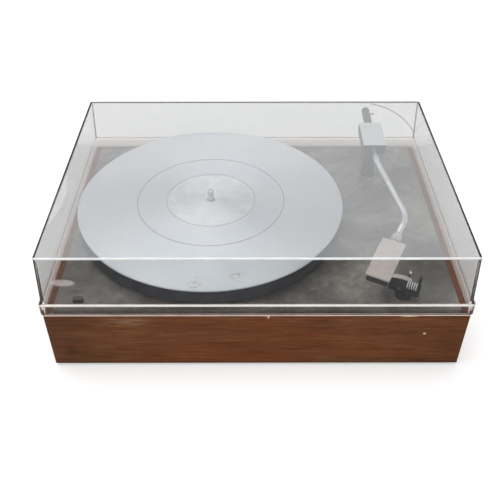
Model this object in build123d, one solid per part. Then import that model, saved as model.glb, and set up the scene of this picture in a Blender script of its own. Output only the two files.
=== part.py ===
from build123d import *
import math
import os

# Belt-driven turntable with a clear dust cover.
# Millimetres, +Z up, X to the right, Y to the rear, origin on the floor under the plinth's centre.

# Plinth
plinth_width = 425.0
plinth_depth = 312.0
plinth_bottom = 3.0
plinth_top = 76.4
rail_thickness = 12.0
corner_block_side = 34.0
corner_block_top = 50.0
board_bottom = 6.0
board_top = 9.0
board_gap = 0.3
board_screw_x = 171.0
board_screw_y = 115.0
board_screw_radius = 1.6
board_screw_head = 3.0
board_screw_seat = 7.6
vent_radius = 4.0
vent_circle = 18.0

# Feet
foot_radius = 14.0
foot_x = 183.0
foot_y = 127.0
foot_seat_radius = 6.0
foot_seat_top = 2.6
foot_screw_radius = 2.1
foot_head_radius = 4.4
foot_head_low = 0.8

# Dust cover
cover_overhang = 2.5
cover_rim_height = 14.3
cover_body_height = 55.9
cover_wall = 2.5
cover_step = 2.4
cover_draft = 3.0
cover_corner = 4.0

# Top plate
plate_top = 81.0
plate_thickness = 1.2
plate_width = 406.0
plate_front = -152.8
plate_rear = 146.5
tab_y = 98.0
tab_width = 16.0
tab_bottom = 60.0
tab_screw_z = 67.0
tab_hole_radius = 1.7
tab_screw_radius = 1.65
bearing_hole_radius = 18.0
pulley_hole_radius = 13.0
pillar_hole_radius = 9.0
knob_hole_radius = 2.4
rest_hole_radius = 2.1

# Platter and its bearing
platter_x = -51.1
platter_y = -0.4
platter_radius = 149.8
platter_top = 103.0
platter_depth = 17.5
platter_disc = 5.0
platter_rim_wall = 8.0
platter_edge = 1.0
ring_radii = (50.0, 83.2)
ring_width = 0.8
ring_depth = 0.4
inner_platter_radius = 82.5
inner_platter_bottom = 86.0
inner_hub_radius = 13.0
inner_hub_low = 84.8
inner_web_low = 92.0
inner_rim_wall = 6.0
inner_chamfer = 2.5
shaft_radius = 5.0
seat_radius = 4.6
pin_radius = 3.58
pin_relief = 0.4
pin_top = 116.4
housing_radius = 10.0
housing_bore = 6.0
housing_bottom = 38.0
housing_top = 83.5
housing_flange = 20.0
bearing_screw_circle = 15.0
bearing_screw_radius = 1.5
bearing_bush_length = 8.0

# Drive
speed_ratio = 9.0
belt_thickness = 0.8
belt_low = 87.6
belt_high = 94.0
belt_gap = 0.3
pulley_low = 85.4
pulley_flange_top = 86.8
pulley_flange_radius = 10.6
pulley_top = 95.0
pulley_crown = 0.15
motor_x = -136.0
motor_y = -76.5
motor_radius = 30.0
motor_low = 32.0
motor_high = 74.0
motor_ear_reach = 38.0
motor_wall = 1.5
motor_bush_radius = 4.0
motor_ear_radius = 9.0
motor_ear_hole = 2.2
rotor_radius = 15.0
rotor_low = 42.0
rotor_high = 64.0
coil_bore = 17.0
motor_shaft_radius = 1.6
pulley_radius = (inner_platter_radius + belt_thickness / 2) / speed_ratio - belt_thickness / 2

# Floating sub-chassis
chassis_low = 56.0
chassis_high = 59.0
chassis_width = 36.0
cross_bar_width = 44.0
cross_bar_reach = 110.0
bar_end = 16.0
rib_offset = 16.5
rib_half = 1.2
rib_top = 66.0
arm_spring_reach = 28.0
flange_top = 62.0
stud_radius = 2.0
stud_bore = 2.05
stud_low = 28.0
stud_pad_radius = 6.0
stud_pad_low = 78.2
motor_stud_low = 66.0
nut_low = 30.5
washer_low = 33.6
nut_flats = 7.0
spring_low = 34.7
spring_high = 54.5
spring_radius = 8.0
spring_bore = 6.4
grommet_radius = 9.5
grommet_neck = 6.95
grommet_bore = 3.4
grommet_top = 60.5

# Arm. It is drawn level, then tipped about its tilt pivot.
pivot_x = 141.0
pivot_y = 85.0
pivot_z = 130.9
arm_tip_angle = 4.3
tube_radius = 3.3
tube_wall = 0.7
elbow_rear = (140.8, 39.2)
elbow_front = (159.4, -57.6)
elbow_rear_radius = 55.0
elbow_front_radius = 35.0
headshell_angle = 26.5
elbow_to_headshell = 42.8
headshell_length = 54.0
headshell_width = 24.5
headshell_thickness = 2.0
collar_radius = 5.6
collar_length = 12.0
finger_start = 45.0
finger_straight = 12.0
finger_reach = 24.0
finger_thickness = 1.0
finger_half_width = 2.2
finger_drop_radius = 20.0
finger_angle = -11.5
cartridge_start = 27.0
cartridge_end = 53.0
cartridge_half_width = 11.0
cartridge_depth = 7.6
cartridge_screw_forward = 41.0
cartridge_screw_spread = 8.5
cartridge_screw_radius = 1.25
pivot_block_width = 27.0
pivot_block_front = 61.3
pivot_block_rear = 108.8
pivot_block_below = 4.5
pivot_block_above = 7.3
counterweight_radius = 5.0
counterweight_front = 113.0
counterweight_rear = 148.5
counterweight_screw_y = 139.0
set_screw_radius = 1.0
stub_radius = 3.0
stub_length = 43.5
pillar_radius = 7.5
pillar_bore = 5.5
pillar_low = 50.0
pillar_top = 118.0
pillar_flange = 16.0
pillar_nut_flats = 22.0
pivot_bearing_height = 5.0
pivot_shaft_low = 64.0
pivot_shaft_top = 127.0
yoke_low = 119.2
yoke_disc_top = 121.5
yoke_disc_radius = 9.5
yoke_half_width = 6.5
pivot_shaft_radius = 3.0
tilt_pin_radius = 1.5

# Arm rest
rest_x = 148.3
rest_y = -132.6
rest_angle = -27.3
rest_bar_low = 88.0
rest_bar_top = 97.0
rest_stem_radius = 2.0
roller_place = (7.4, -1.9, 98.4)
ball_pin_place = (1.2, 7.4)
upright_pin_place = (0.0, 0.6)
rest_pin_radius = 1.1
rest_screw_x = -4.5
rest_screw_z = 93.5
clip_place = (12.5, 9.2, 99.5)

# Control and rear connections
knob_x = -179.0
knob_y = -140.8
knob_height = 4.3
gland_x = -150.0
gland_z = 35.0
gland_radius = 6.0
socket_z = 40.0
socket_panel_x = 110.0
socket_radius = 4.1
cut_out_width = 56.0
cut_out_height = 22.0
panel_thickness = 1.5

half_width = plinth_width / 2
half_depth = plinth_depth / 2
inner_x = half_width - rail_thickness
inner_y = half_depth - rail_thickness
plate_bottom = plate_top - plate_thickness
platter_bottom = platter_top - platter_depth
inner_platter_top = platter_top - platter_disc
flat_bottom = (Align.CENTER, Align.CENTER, Align.MIN)


# General forms

def rod(radius, low, high, x=0.0, y=0.0):
    """An upright cylinder between two heights."""
    return Pos(x, y, low) * Cylinder(radius, high - low, align=flat_bottom)


def ring(outer, inner, low, high, x=0.0, y=0.0):
    """An upright ring between two heights."""
    return rod(outer, low, high, x, y) - rod(inner, low - 1, high + 1, x, y)


def bar(x_range, y_range, z_range):
    """A box between two values on each axis."""
    size = [high - low for low, high in (x_range, y_range, z_range)]
    middle = [(high + low) / 2 for low, high in (x_range, y_range, z_range)]
    return Pos(*middle) * Box(*size)


def pin_along(start, direction, radius, length):
    """A cylinder that starts at a point and runs one way."""
    return Plane(origin=start, z_dir=direction) * Cylinder(radius, length, align=flat_bottom)


def hex_nut(across_flats, bore, low, high, x, y):
    """A plain hexagonal nut."""
    outline = Pos(x, y, low) * RegularPolygon(across_flats / 2, 6, major_radius=False)
    return extrude(outline, high - low) - rod(bore, low - 1, high + 1, x, y)


def turned(profile, x, y):
    """A solid turned about the upright axis through x, y from radius and height points."""
    outline = make_face(Polyline(*profile, close=True))
    face = Plane.XZ * outline
    return Pos(x, y, 0) * revolve(face, Axis.Z)


def at_corners(make, x, y):
    """One copy of a piece at each of four corners."""
    return [make(sx * x, sy * y) for sx in (-1, 1) for sy in (-1, 1)]


def single(shapes):
    """Separate solids that share one node."""
    solids = []
    for shape in shapes:
        solids.extend(shape.solids())
    return Compound(children=solids)


# Plinth

def mitred_rail(length, depth_sign, along_x):
    """One rail with mitred ends, standing on the plinth's bottom line."""
    outer = length / 2
    inner = outer - rail_thickness
    reach = half_depth if along_x else half_width
    near = depth_sign * reach
    far = depth_sign * (reach - rail_thickness)
    points = [(-outer, near), (outer, near), (inner, far), (-inner, far)]
    if not along_x:
        points = [(b, a) for a, b in points]
    outline = make_face(Polyline(*points, close=True))
    return extrude(Pos(0, 0, plinth_bottom) * outline, plinth_top - plinth_bottom)


def tab_screw_hole(x_sign, y_sign):
    start = (x_sign * (inner_x - 1), y_sign * tab_y, tab_screw_z)
    return pin_along(start, (x_sign, 0, 0), tab_hole_radius, 9.5)


def front_rail():
    return mitred_rail(plinth_width, -1, True)


def rear_rail():
    """The rear rail has a window for the socket panel and a bore for the cord gland."""
    rail = mitred_rail(plinth_width, 1, True)
    window_x = (socket_panel_x - cut_out_width / 2, socket_panel_x + cut_out_width / 2)
    window_z = (socket_z - cut_out_height / 2, socket_z + cut_out_height / 2)
    rail -= bar(window_x, (inner_y - 1, half_depth + 1), window_z)
    rail -= pin_along((gland_x, inner_y - 1, gland_z), (0, 1, 0), gland_radius, rail_thickness + 2)
    for x, z in panel_screw_places():
        rail -= pin_along((x, inner_y - 1, z), (0, 1, 0), 1.3, 8.5)
    return rail


def side_rail(x_sign):
    rail = mitred_rail(plinth_depth, x_sign, False)
    for y_sign in (-1, 1):
        rail -= tab_screw_hole(x_sign, y_sign)
    return rail


def corner_blocks():
    """Glue blocks in the four corners, bored for the foot and board screws."""
    def block(x, y):
        sx = math.copysign(1, x)
        sy = math.copysign(1, y)
        x_range = sorted((sx * inner_x, sx * (inner_x - corner_block_side)))
        y_range = sorted((sy * inner_y, sy * (inner_y - corner_block_side)))
        piece = bar(x_range, y_range, (board_top, corner_block_top))
        piece -= rod(foot_screw_radius, board_top - 1, board_top + 16, x, y)
        screw_x = sx * board_screw_x
        screw_y = sy * board_screw_y
        return piece - rod(board_screw_radius, board_top - 1, board_top + 14, screw_x, screw_y)
    return single(at_corners(block, foot_x, foot_y))


def base_board():
    """Hardboard floor, set inside the rails, with vent holes under the motor."""
    board = bar(
        (board_gap - inner_x, inner_x - board_gap),
        (board_gap - inner_y, inner_y - board_gap),
        (board_bottom, board_top),
    )

    def screw_hole(x, y):
        return rod(board_screw_head, 0, board_screw_seat, x, y) + rod(board_screw_radius, 0, 20, x, y)

    for hole in at_corners(lambda x, y: rod(foot_screw_radius, 0, 20, x, y), foot_x, foot_y):
        board -= hole
    for hole in at_corners(screw_hole, board_screw_x, board_screw_y):
        board -= hole
    for step in range(6):
        angle = math.radians(60 * step)
        x = motor_x + vent_circle * math.cos(angle)
        y = motor_y + vent_circle * math.sin(angle)
        board -= rod(vent_radius, 0, 20, x, y)
    return board


def board_screws():
    def screw(x, y):
        head = rod(board_screw_head, board_bottom + 0.1, board_screw_seat, x, y)
        return head + rod(board_screw_radius, board_screw_seat - 0.1, board_top + 12, x, y)
    return at_corners(screw, board_screw_x, board_screw_y)


def rubber_feet():
    """Round feet with a sunk seat for the screw head."""
    profile = [
        (foot_screw_radius, foot_seat_top), (foot_seat_radius, foot_seat_top), (foot_seat_radius, 0),
        (foot_radius - 2, 0), (foot_radius, 3), (foot_radius, board_bottom),
        (foot_screw_radius, board_bottom),
    ]
    return single(at_corners(lambda x, y: turned(profile, x, y), foot_x, foot_y))


def foot_screws():
    def screw(x, y):
        head = rod(foot_head_radius, foot_head_low, foot_seat_top, x, y)
        return head + rod(foot_screw_radius, foot_seat_top - 0.1, board_top + 14, x, y)
    return single(at_corners(screw, foot_x, foot_y))


# Top plate

def top_plate():
    """Shallow steel tray: its turned-down edge stands on the rails and four tabs hang inside them."""
    depth = plate_rear - plate_front
    middle = (plate_rear + plate_front) / 2
    corner = 3.0
    outline = RectangleRounded(plate_width, depth, corner)
    inside = RectangleRounded(
        plate_width - 2 * plate_thickness, depth - 2 * plate_thickness, corner - plate_thickness
    )
    plate = extrude(Pos(0, middle, plinth_top) * outline, plate_top - plinth_top)
    plate -= extrude(Pos(0, middle, plinth_top - 1) * inside, plate_bottom - plinth_top + 1)
    top_edges = plate.faces().sort_by(Axis.Z)[-1].edges()
    plate = fillet(top_edges, 0.8)
    for x_sign in (-1, 1):
        for y_sign in (-1, 1):
            x_range = sorted((x_sign * inner_x, x_sign * (inner_x - plate_thickness)))
            y_range = (y_sign * tab_y - tab_width / 2, y_sign * tab_y + tab_width / 2)
            plate += bar(x_range, y_range, (tab_bottom, plate_bottom + 0.2))
            start = (x_sign * (inner_x - 10), y_sign * tab_y, tab_screw_z)
            plate -= pin_along(start, (x_sign, 0, 0), tab_hole_radius, 11)
    holes = (
        (bearing_hole_radius, platter_x, platter_y), (pulley_hole_radius, motor_x, motor_y),
        (pillar_hole_radius, pivot_x, pivot_y), (knob_hole_radius, knob_x, knob_y),
        (rest_hole_radius, rest_x, rest_y),
    )
    for radius, x, y in holes:
        plate -= rod(radius, plate_bottom - 1, plate_top + 1, x, y)
    return plate


def tab_screws():
    """Pan-head wood screws through the tabs into the side rails."""
    screws = []
    for x_sign in (-1, 1):
        for y_sign in (-1, 1):
            y = y_sign * tab_y
            seat = x_sign * (inner_x - plate_thickness)
            head = pin_along((seat, y, tab_screw_z), (-x_sign, 0, 0), 3.2, 2.0)
            shank_start = (seat - x_sign * 0.5, y, tab_screw_z)
            screws.append(head + pin_along(shank_start, (x_sign, 0, 0), tab_screw_radius, 9.5))
    return screws


# Floating sub-chassis and its suspension

bar_dx = pivot_x - platter_x
bar_dy = pivot_y - platter_y
bar_length = math.hypot(bar_dx, bar_dy)
along = (bar_dx / bar_length, bar_dy / bar_length)
across = (-along[1], along[0])


def on_chassis(forward, sideways):
    """A plan point measured from the platter's axis along and across the main bar."""
    x = platter_x + forward * along[0] + sideways * across[0]
    y = platter_y + forward * along[1] + sideways * across[1]
    return x, y


spring_places = (
    on_chassis(0, cross_bar_reach),
    on_chassis(0, -cross_bar_reach),
    on_chassis(bar_length + arm_spring_reach, 0),
)
motor_ear_places = [(motor_x + side * motor_ear_reach, motor_y) for side in (-1, 1)]
bar_turn = math.degrees(math.atan2(bar_dy, bar_dx))


def subchassis():
    """T-shaped steel plate with two stiffening ribs on its long bar."""
    long_bar = bar_length + arm_spring_reach + bar_end
    main = Pos(long_bar / 2, 0) * Rectangle(long_bar, chassis_width)
    cross = Rectangle(cross_bar_width, 2 * (cross_bar_reach + bar_end))
    plan = Pos(platter_x, platter_y, chassis_low) * (Rot(0, 0, bar_turn) * (main + cross))
    frame = extrude(plan, chassis_high - chassis_low)
    for side in (-1, 1):
        rib_y = (side * rib_offset - rib_half, side * rib_offset + rib_half)
        rib = bar((30, bar_length - 30), rib_y, (chassis_high - 0.2, rib_top))
        frame += Pos(platter_x, platter_y, 0) * (Rot(0, 0, bar_turn) * rib)
    frame -= rod(housing_radius + 0.1, 50, 65, platter_x, platter_y)
    frame -= rod(pillar_radius + 0.1, 50, 65, pivot_x, pivot_y)
    for x, y in spring_places:
        frame -= rod(grommet_neck + 0.05, 50, 65, x, y)
    for x, y in bearing_screw_places():
        frame -= rod(bearing_screw_radius + 0.05, 50, 65, x, y)
    return frame


def weld_studs():
    """Studs welded under the top plate: three long ones for the springs and two for the motor."""
    long_studs = [
        rod(stud_radius, stud_low, plate_bottom, x, y)
        + rod(stud_pad_radius, stud_pad_low, plate_bottom, x, y)
        for x, y in spring_places
    ]
    motor_studs = [rod(stud_radius, motor_stud_low, plate_bottom, x, y) for x, y in motor_ear_places]
    return single(long_studs + motor_studs)


def stud_nuts():
    """Nuts on all the studs, with the wide washers that the springs stand on."""
    nuts = [hex_nut(nut_flats, stud_bore, nut_low, washer_low, x, y) for x, y in spring_places]
    washers = [ring(grommet_radius, stud_bore, washer_low, spring_low, x, y) for x, y in spring_places]
    motor_nuts = [
        hex_nut(nut_flats, stud_bore, motor_high - 5.2, motor_high - 2, x, y)
        for x, y in motor_ear_places
    ]
    return single(nuts + washers + motor_nuts)


def suspension_springs():
    return single(ring(spring_radius, spring_bore, spring_low, spring_high, x, y) for x, y in spring_places)


def suspension_grommets():
    """Rubber sleeves that line the sub-chassis holes and seat the springs."""
    profile = [
        (grommet_bore, spring_high), (grommet_radius, spring_high), (grommet_radius, chassis_low),
        (grommet_neck, chassis_low), (grommet_neck, chassis_high), (grommet_radius, chassis_high),
        (grommet_radius, grommet_top), (grommet_bore, grommet_top),
    ]
    return single(turned(profile, x, y) for x, y in spring_places)


# Main bearing

def bearing_screw_places():
    places = []
    for step in range(3):
        angle = math.radians(bar_turn + 90 + 120 * step)
        x = platter_x + bearing_screw_circle * math.cos(angle)
        places.append((x, platter_y + bearing_screw_circle * math.sin(angle)))
    return places


def bearing_housing():
    """Flanged brass tube, closed at its foot."""
    profile = [
        (0, housing_bottom), (housing_radius, housing_bottom), (housing_radius, chassis_high),
        (housing_flange, chassis_high), (housing_flange, flange_top), (housing_radius, flange_top),
        (housing_radius, housing_top),
        (housing_bore, housing_top), (housing_bore, housing_bottom + 3), (0, housing_bottom + 3),
    ]
    housing = turned(profile, platter_x, platter_y)
    for x, y in bearing_screw_places():
        housing -= rod(bearing_screw_radius + 0.1, 50, 70, x, y)
    return housing


def bearing_screws():
    def screw(x, y):
        shank = rod(bearing_screw_radius, chassis_low, flange_top + 0.1, x, y)
        return shank + rod(2.8, flange_top, flange_top + 2, x, y)
    return single(screw(x, y) for x, y in bearing_screw_places())


def bearing_bushes():
    """Two plain bushes pressed into the housing."""
    return single(
        ring(housing_bore, shaft_radius + 0.05, low, low + bearing_bush_length, platter_x, platter_y)
        for low in (housing_bottom + 7, housing_top - bearing_bush_length)
    )


def thrust_pad():
    return rod(housing_bore - 0.1, housing_bottom + 3, housing_bottom + 5, platter_x, platter_y)


def spindle_shaft():
    """Ground shaft with a seat for the outer platter, a ground relief and the slimmer record pin."""
    foot = housing_bottom + 5
    seat_top = platter_top - 0.1
    pin_low = platter_top + 0.4
    profile = [
        (0, foot), (shaft_radius - 1, foot), (shaft_radius, foot + 1), (shaft_radius, inner_platter_top),
        (seat_radius, inner_platter_top), (seat_radius, seat_top), (pin_radius - pin_relief, seat_top),
        (pin_radius - pin_relief, pin_low), (pin_radius, pin_low), (pin_radius, pin_top - 2.6),
        (2.9, pin_top - 1.0), (1.4, pin_top), (0, pin_top),
    ]
    return turned(profile, platter_x, platter_y)


# Platters and drive

def inner_platter():
    """Belt-driven hub wheel that carries the record platter."""
    radius = inner_platter_radius
    rim = radius - inner_rim_wall
    top = inner_platter_top
    profile = [
        (shaft_radius, inner_hub_low), (inner_hub_radius, inner_hub_low), (inner_hub_radius, inner_web_low),
        (rim, inner_web_low), (rim, inner_platter_bottom), (radius, inner_platter_bottom),
        (radius, top - inner_chamfer), (radius - inner_chamfer, top), (shaft_radius, top),
    ]
    return turned(profile, platter_x, platter_y)


def outer_platter():
    """Turned aluminium platter with a deep rim and two fine rings cut in its face."""
    outer = platter_radius
    rim = outer - platter_rim_wall
    under = platter_top - platter_disc
    bore = seat_radius + 0.1
    profile = [
        (bore, under), (rim, under), (rim, platter_bottom), (outer - platter_edge, platter_bottom),
        (outer, platter_bottom + platter_edge), (outer, platter_top - platter_edge),
        (outer - platter_edge, platter_top), (bore, platter_top),
    ]
    platter = turned(profile, platter_x, platter_y)
    low = platter_top - ring_depth
    for radius in ring_radii:
        near = radius - ring_width / 2
        far = radius + ring_width / 2
        platter -= ring(far, near, low, platter_top + 1, platter_x, platter_y)
    return platter


def drive_belt():
    """Flat belt on its run round the inner platter and the pulley."""
    def loop(extra):
        wheel = Pos(platter_x, platter_y) * Circle(inner_platter_radius + belt_gap + extra)
        pulley = Pos(motor_x, motor_y) * Circle(pulley_radius + belt_gap + extra)
        return make_hull((wheel + pulley).edges())
    outline = loop(belt_thickness) - loop(0)
    return extrude(Pos(0, 0, belt_low) * outline, belt_high - belt_low)


def motor_pulley():
    """Crowned pulley with a lower flange."""
    middle = (belt_low + belt_high) / 2
    edge = pulley_radius - pulley_crown
    profile = [
        (motor_shaft_radius, pulley_low), (pulley_flange_radius, pulley_low),
        (pulley_flange_radius, pulley_flange_top), (edge, pulley_flange_top),
        (pulley_radius, middle), (edge, pulley_top), (motor_shaft_radius, pulley_top),
    ]
    return turned(profile, motor_x, motor_y)


def motor_shaft():
    return rod(motor_shaft_radius, motor_low + 2, pulley_top, motor_x, motor_y)


def motor_rotor():
    return ring(rotor_radius, motor_shaft_radius, rotor_low, rotor_high, motor_x, motor_y)


def motor_coil():
    """Stator winding, a fixed ring round the rotor."""
    return ring(motor_radius - motor_wall, coil_bore, rotor_low - 1, rotor_high + 1, motor_x, motor_y)


def motor_can():
    """Drawn motor shell with two fixing ears."""
    can = rod(motor_radius, motor_low, motor_high, motor_x, motor_y)
    ears = SlotOverall(2 * (motor_ear_reach + motor_ear_radius), 2 * motor_ear_radius)
    can += extrude(Pos(motor_x, motor_y, motor_high - 2) * ears, 2)
    can -= rod(motor_radius - motor_wall, motor_low + motor_wall, motor_high - 2, motor_x, motor_y)
    can -= rod(motor_bush_radius, motor_high - 5, motor_high + 1, motor_x, motor_y)
    for x, y in motor_ear_places:
        can -= rod(motor_ear_hole, 70, 80, x, y)
    return can


def motor_bushes():
    """Two shaft bushes, in the can's floor and in its top."""
    bore = motor_shaft_radius + 0.05
    low = ring(motor_bush_radius, bore, motor_low + motor_wall, motor_low + 6, motor_x, motor_y)
    high = ring(motor_bush_radius, bore, motor_high - 6, motor_high + 1, motor_x, motor_y)
    return single([low, high])


def motor_grommets():
    """Rubber spacers between the motor's ears and the plate."""
    return single(ring(7.0, stud_bore, motor_high, plate_bottom, x, y) for x, y in motor_ear_places)


# Power control

def power_switch():
    """Rotary switch body that hangs under the plate."""
    body = bar((knob_x - 8, knob_x + 8), (knob_y - 2.9, knob_y + 18), (58, plate_bottom))
    body -= rod(2.05, 60, 90, knob_x, knob_y)
    for step in (-4.5, 0, 4.5):
        body += bar((knob_x + step - 0.5, knob_x + step + 0.5), (knob_y + 8, knob_y + 11), (53, 58.2))
    return body


def power_knob():
    """Low knob with two flats and a stem into the switch."""
    low = plate_top + 0.3
    grip = rod(5.25, low, low + knob_height, knob_x, knob_y)
    grip &= bar((knob_x - 6, knob_x + 6), (knob_y - 3.0, knob_y + 3.0), (low, low + knob_height))
    grip = fillet(grip.faces().sort_by(Axis.Z)[-1].edges(), 0.6)
    return grip + rod(2.0, 62, low + 1, knob_x, knob_y)


# Rear connections

def panel_screw_places():
    reach_x = cut_out_width / 2 + 4
    reach_z = cut_out_height / 2 - 2
    return [(socket_panel_x + sx * reach_x, socket_z + sz * reach_z) for sx in (-1, 1) for sz in (-1, 1)]


socket_places = (socket_panel_x - 14.0, socket_panel_x + 2.0)
ground_x = socket_panel_x + 18.0


def socket_panel():
    """Steel panel on the inner face of the rear rail."""
    panel = bar(
        (socket_panel_x - cut_out_width / 2 - 8, socket_panel_x + cut_out_width / 2 + 8),
        (inner_y - panel_thickness, inner_y),
        (socket_z - 15, socket_z + 15),
    )
    for x in socket_places:
        panel -= pin_along((x, inner_y - 3, socket_z), (0, 1, 0), socket_radius, 6)
    panel -= pin_along((ground_x, inner_y - 3, socket_z), (0, 1, 0), 2.0, 6)
    for x, z in panel_screw_places():
        panel -= pin_along((x, inner_y - 3, z), (0, 1, 0), 1.5, 6)
    return panel


def panel_screws():
    screws = []
    for x, z in panel_screw_places():
        head = pin_along((x, inner_y - 3.3, z), (0, 1, 0), 2.8, 1.8)
        screws.append(head + pin_along((x, inner_y - 2, z), (0, 1, 0), 1.25, 9))
    return screws


def wood_screws():
    """All the wood screws: top plate tabs, base board and socket panel."""
    return single(tab_screws() + board_screws() + panel_screws())


def phono_sockets():
    """Two signal sockets: a barrel outside, a contact bore in it and a lug inside."""
    sockets = []
    for x in socket_places:
        barrel = pin_along((x, inner_y - 4, socket_z), (0, 1, 0), socket_radius, 13)
        collar = pin_along((x, inner_y - 3.5, socket_z), (0, 1, 0), 5.6, 2)
        lug = pin_along((x, inner_y - 9, socket_z), (0, 1, 0), 1.5, 6)
        bore = pin_along((x, inner_y + 1, socket_z), (0, 1, 0), 1.6, 9)
        sockets.append(barrel + collar + lug - bore)
    return single(sockets)


def ground_terminal():
    """Threaded stud with a round thumb nut."""
    stud = pin_along((ground_x, inner_y - 7, socket_z), (0, 1, 0), 2.0, 14.5)
    nut = pin_along((ground_x, inner_y, socket_z), (0, 1, 0), 4.5, 5)
    nut -= pin_along((ground_x, inner_y - 1, socket_z), (0, 1, 0), 2.02, 8)
    return single([stud, nut])


def cord_gland():
    """Rubber bush for the mains cord, lipped on both faces of the rail."""
    sleeve = pin_along((gland_x, inner_y, gland_z), (0, 1, 0), gland_radius, rail_thickness)
    inner_lip = pin_along((gland_x, inner_y - 2.5, gland_z), (0, 1, 0), 8.5, 2.5)
    outer_lip = pin_along((gland_x, half_depth, gland_z), (0, 1, 0), 8.0, 2.0)
    bore = pin_along((gland_x, inner_y - 4, gland_z), (0, 1, 0), 3.2, rail_thickness + 8)
    return sleeve + inner_lip + outer_lip - bore


def terminal_strip():
    """Screw terminal block on the base board."""
    strip = bar((-160, -116), (92, 106), (board_top, board_top + 12))
    for step in range(4):
        strip -= rod(2.6, board_top + 7, board_top + 14, -154 + 10.7 * step, 99)
    return strip


# Arm pillar and pivots

def arm_pillar():
    """Flanged tube on the sub-chassis that carries the arm's upright bearings."""
    profile = [
        (pillar_bore, pillar_low), (pillar_radius, pillar_low), (pillar_radius, chassis_high),
        (pillar_flange, chassis_high), (pillar_flange, flange_top), (pillar_radius, flange_top),
        (pillar_radius, pillar_top), (pillar_bore, pillar_top),
    ]
    return turned(profile, pivot_x, pivot_y)


def pillar_nut():
    bore = pillar_radius + 0.02
    return hex_nut(pillar_nut_flats, bore, pillar_low + 1, chassis_low, pivot_x, pivot_y)


def pivot_bearings():
    bore = pivot_shaft_radius + 0.05
    height = pivot_bearing_height
    lows = (66, pillar_top - height - 1)
    return single(ring(pillar_bore, bore, low, low + height, pivot_x, pivot_y) for low in lows)


def pivot_shaft():
    return rod(pivot_shaft_radius, pivot_shaft_low, pivot_shaft_top, pivot_x, pivot_y)


def arm_yoke():
    """Upright yoke on the shaft, cross-bored for the tilt pivots."""
    yoke = rod(yoke_disc_radius, yoke_low, yoke_disc_top, pivot_x, pivot_y)
    yoke += bar(
        (pivot_x - yoke_half_width, pivot_x + yoke_half_width), (pivot_y - 6, pivot_y + 6),
        (yoke_disc_top - 0.1, pivot_z + 3.6),
    )
    yoke -= rod(pivot_shaft_radius, yoke_low - 1, pivot_shaft_top, pivot_x, pivot_y)
    return yoke - pin_along((pivot_x - 8, pivot_y, pivot_z), (1, 0, 0), tilt_pin_radius + 0.05, 16)


# Arm, drawn level

head_turn = math.radians(headshell_angle)
head_forward = (-math.sin(head_turn), -math.cos(head_turn))
head_right = (math.cos(head_turn), -math.sin(head_turn))
head_rear = (
    elbow_front[0] + elbow_to_headshell * head_forward[0],
    elbow_front[1] + elbow_to_headshell * head_forward[1],
)


def on_head(forward, right, up=0.0):
    """A point measured from the headshell's rear edge, along it, across it and up from the arm's axis."""
    x = head_rear[0] + forward * head_forward[0] + right * head_right[0]
    y = head_rear[1] + forward * head_forward[1] + right * head_right[1]
    return x, y, pivot_z + up


def head_plane(up):
    """A plan plane at the headshell: its X runs forward, its Y to the left."""
    return Plane(origin=on_head(0, 0, up), x_dir=(*head_forward, 0), z_dir=(0, 0, 1))


def head_box(forward, right, up):
    """A box in the headshell's own directions; each argument is a low and a high value."""
    outline = Rectangle(forward[1] - forward[0], right[1] - right[0])
    place = Pos((forward[0] + forward[1]) / 2, (right[0] + right[1]) / 2)
    return extrude(head_plane(up[0]) * (place * outline), up[1] - up[0])


def tipped(shape):
    """The arm's rest attitude: its front end hangs a little low."""
    return shape.rotate(Axis((pivot_x, pivot_y, pivot_z), (1, 0, 0)), arm_tip_angle)


def arm_block():
    """Square pivot cover, open below round the yoke."""
    side = pivot_block_width / 2
    low = pivot_z - pivot_block_below
    high = pivot_z + pivot_block_above
    block = bar((pivot_x - side, pivot_x + side), (pivot_block_front, pivot_block_rear), (low, high))
    block = fillet(block.edges().filter_by(Axis.Z), 1.2)
    block = chamfer(block.faces().sort_by(Axis.Z)[-1].edges(), 0.4)
    block -= bar((pivot_x - 9, pivot_x + 9), (pivot_y - 14, pivot_y + 14), (low - 1, high - 1.8))
    block -= pin_along((elbow_rear[0], pivot_y, pivot_z), (0, -1, 0), tube_radius, 30)
    block -= pin_along((elbow_rear[0], pivot_y, pivot_z), (0, 1, 0), stub_radius, 30)
    return block - pin_along((pivot_x - 20, pivot_y, pivot_z), (1, 0, 0), tilt_pin_radius, 40)


def tilt_pins():
    """Two pointed screws through the cover's sides into the yoke."""
    inner_end = 4.2
    length = pivot_block_width / 2 - inner_end
    return single(
        pin_along((pivot_x + side * inner_end, pivot_y, pivot_z), (side, 0, 0), tilt_pin_radius, length)
        for side in (-1, 1)
    )


def arm_tube():
    """S-bent aluminium tube from the pivot cover to the collar."""
    start = (elbow_rear[0], pivot_y - 14)
    end = on_head(-7.2, 0)[:2]
    points = [(x, y, pivot_z) for x, y in (start, elbow_rear, elbow_front, end)]
    path = FilletPolyline(*points, radius=[elbow_rear_radius, elbow_front_radius])
    section = Plane(origin=path @ 0, z_dir=path % 0) * (Circle(tube_radius) - Circle(tube_radius - tube_wall))
    return sweep(section, path=path)


def collar_nut():
    """Round collar that locks the headshell to the tube."""
    direction = (*head_forward, 0)
    start = -collar_length - 1
    nut = pin_along(on_head(start, 0), direction, collar_radius, collar_length)
    nut = fillet(nut.edges(), 0.9)
    return nut - pin_along(on_head(start - 1, 0), direction, tube_radius, collar_length + 2)


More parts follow.
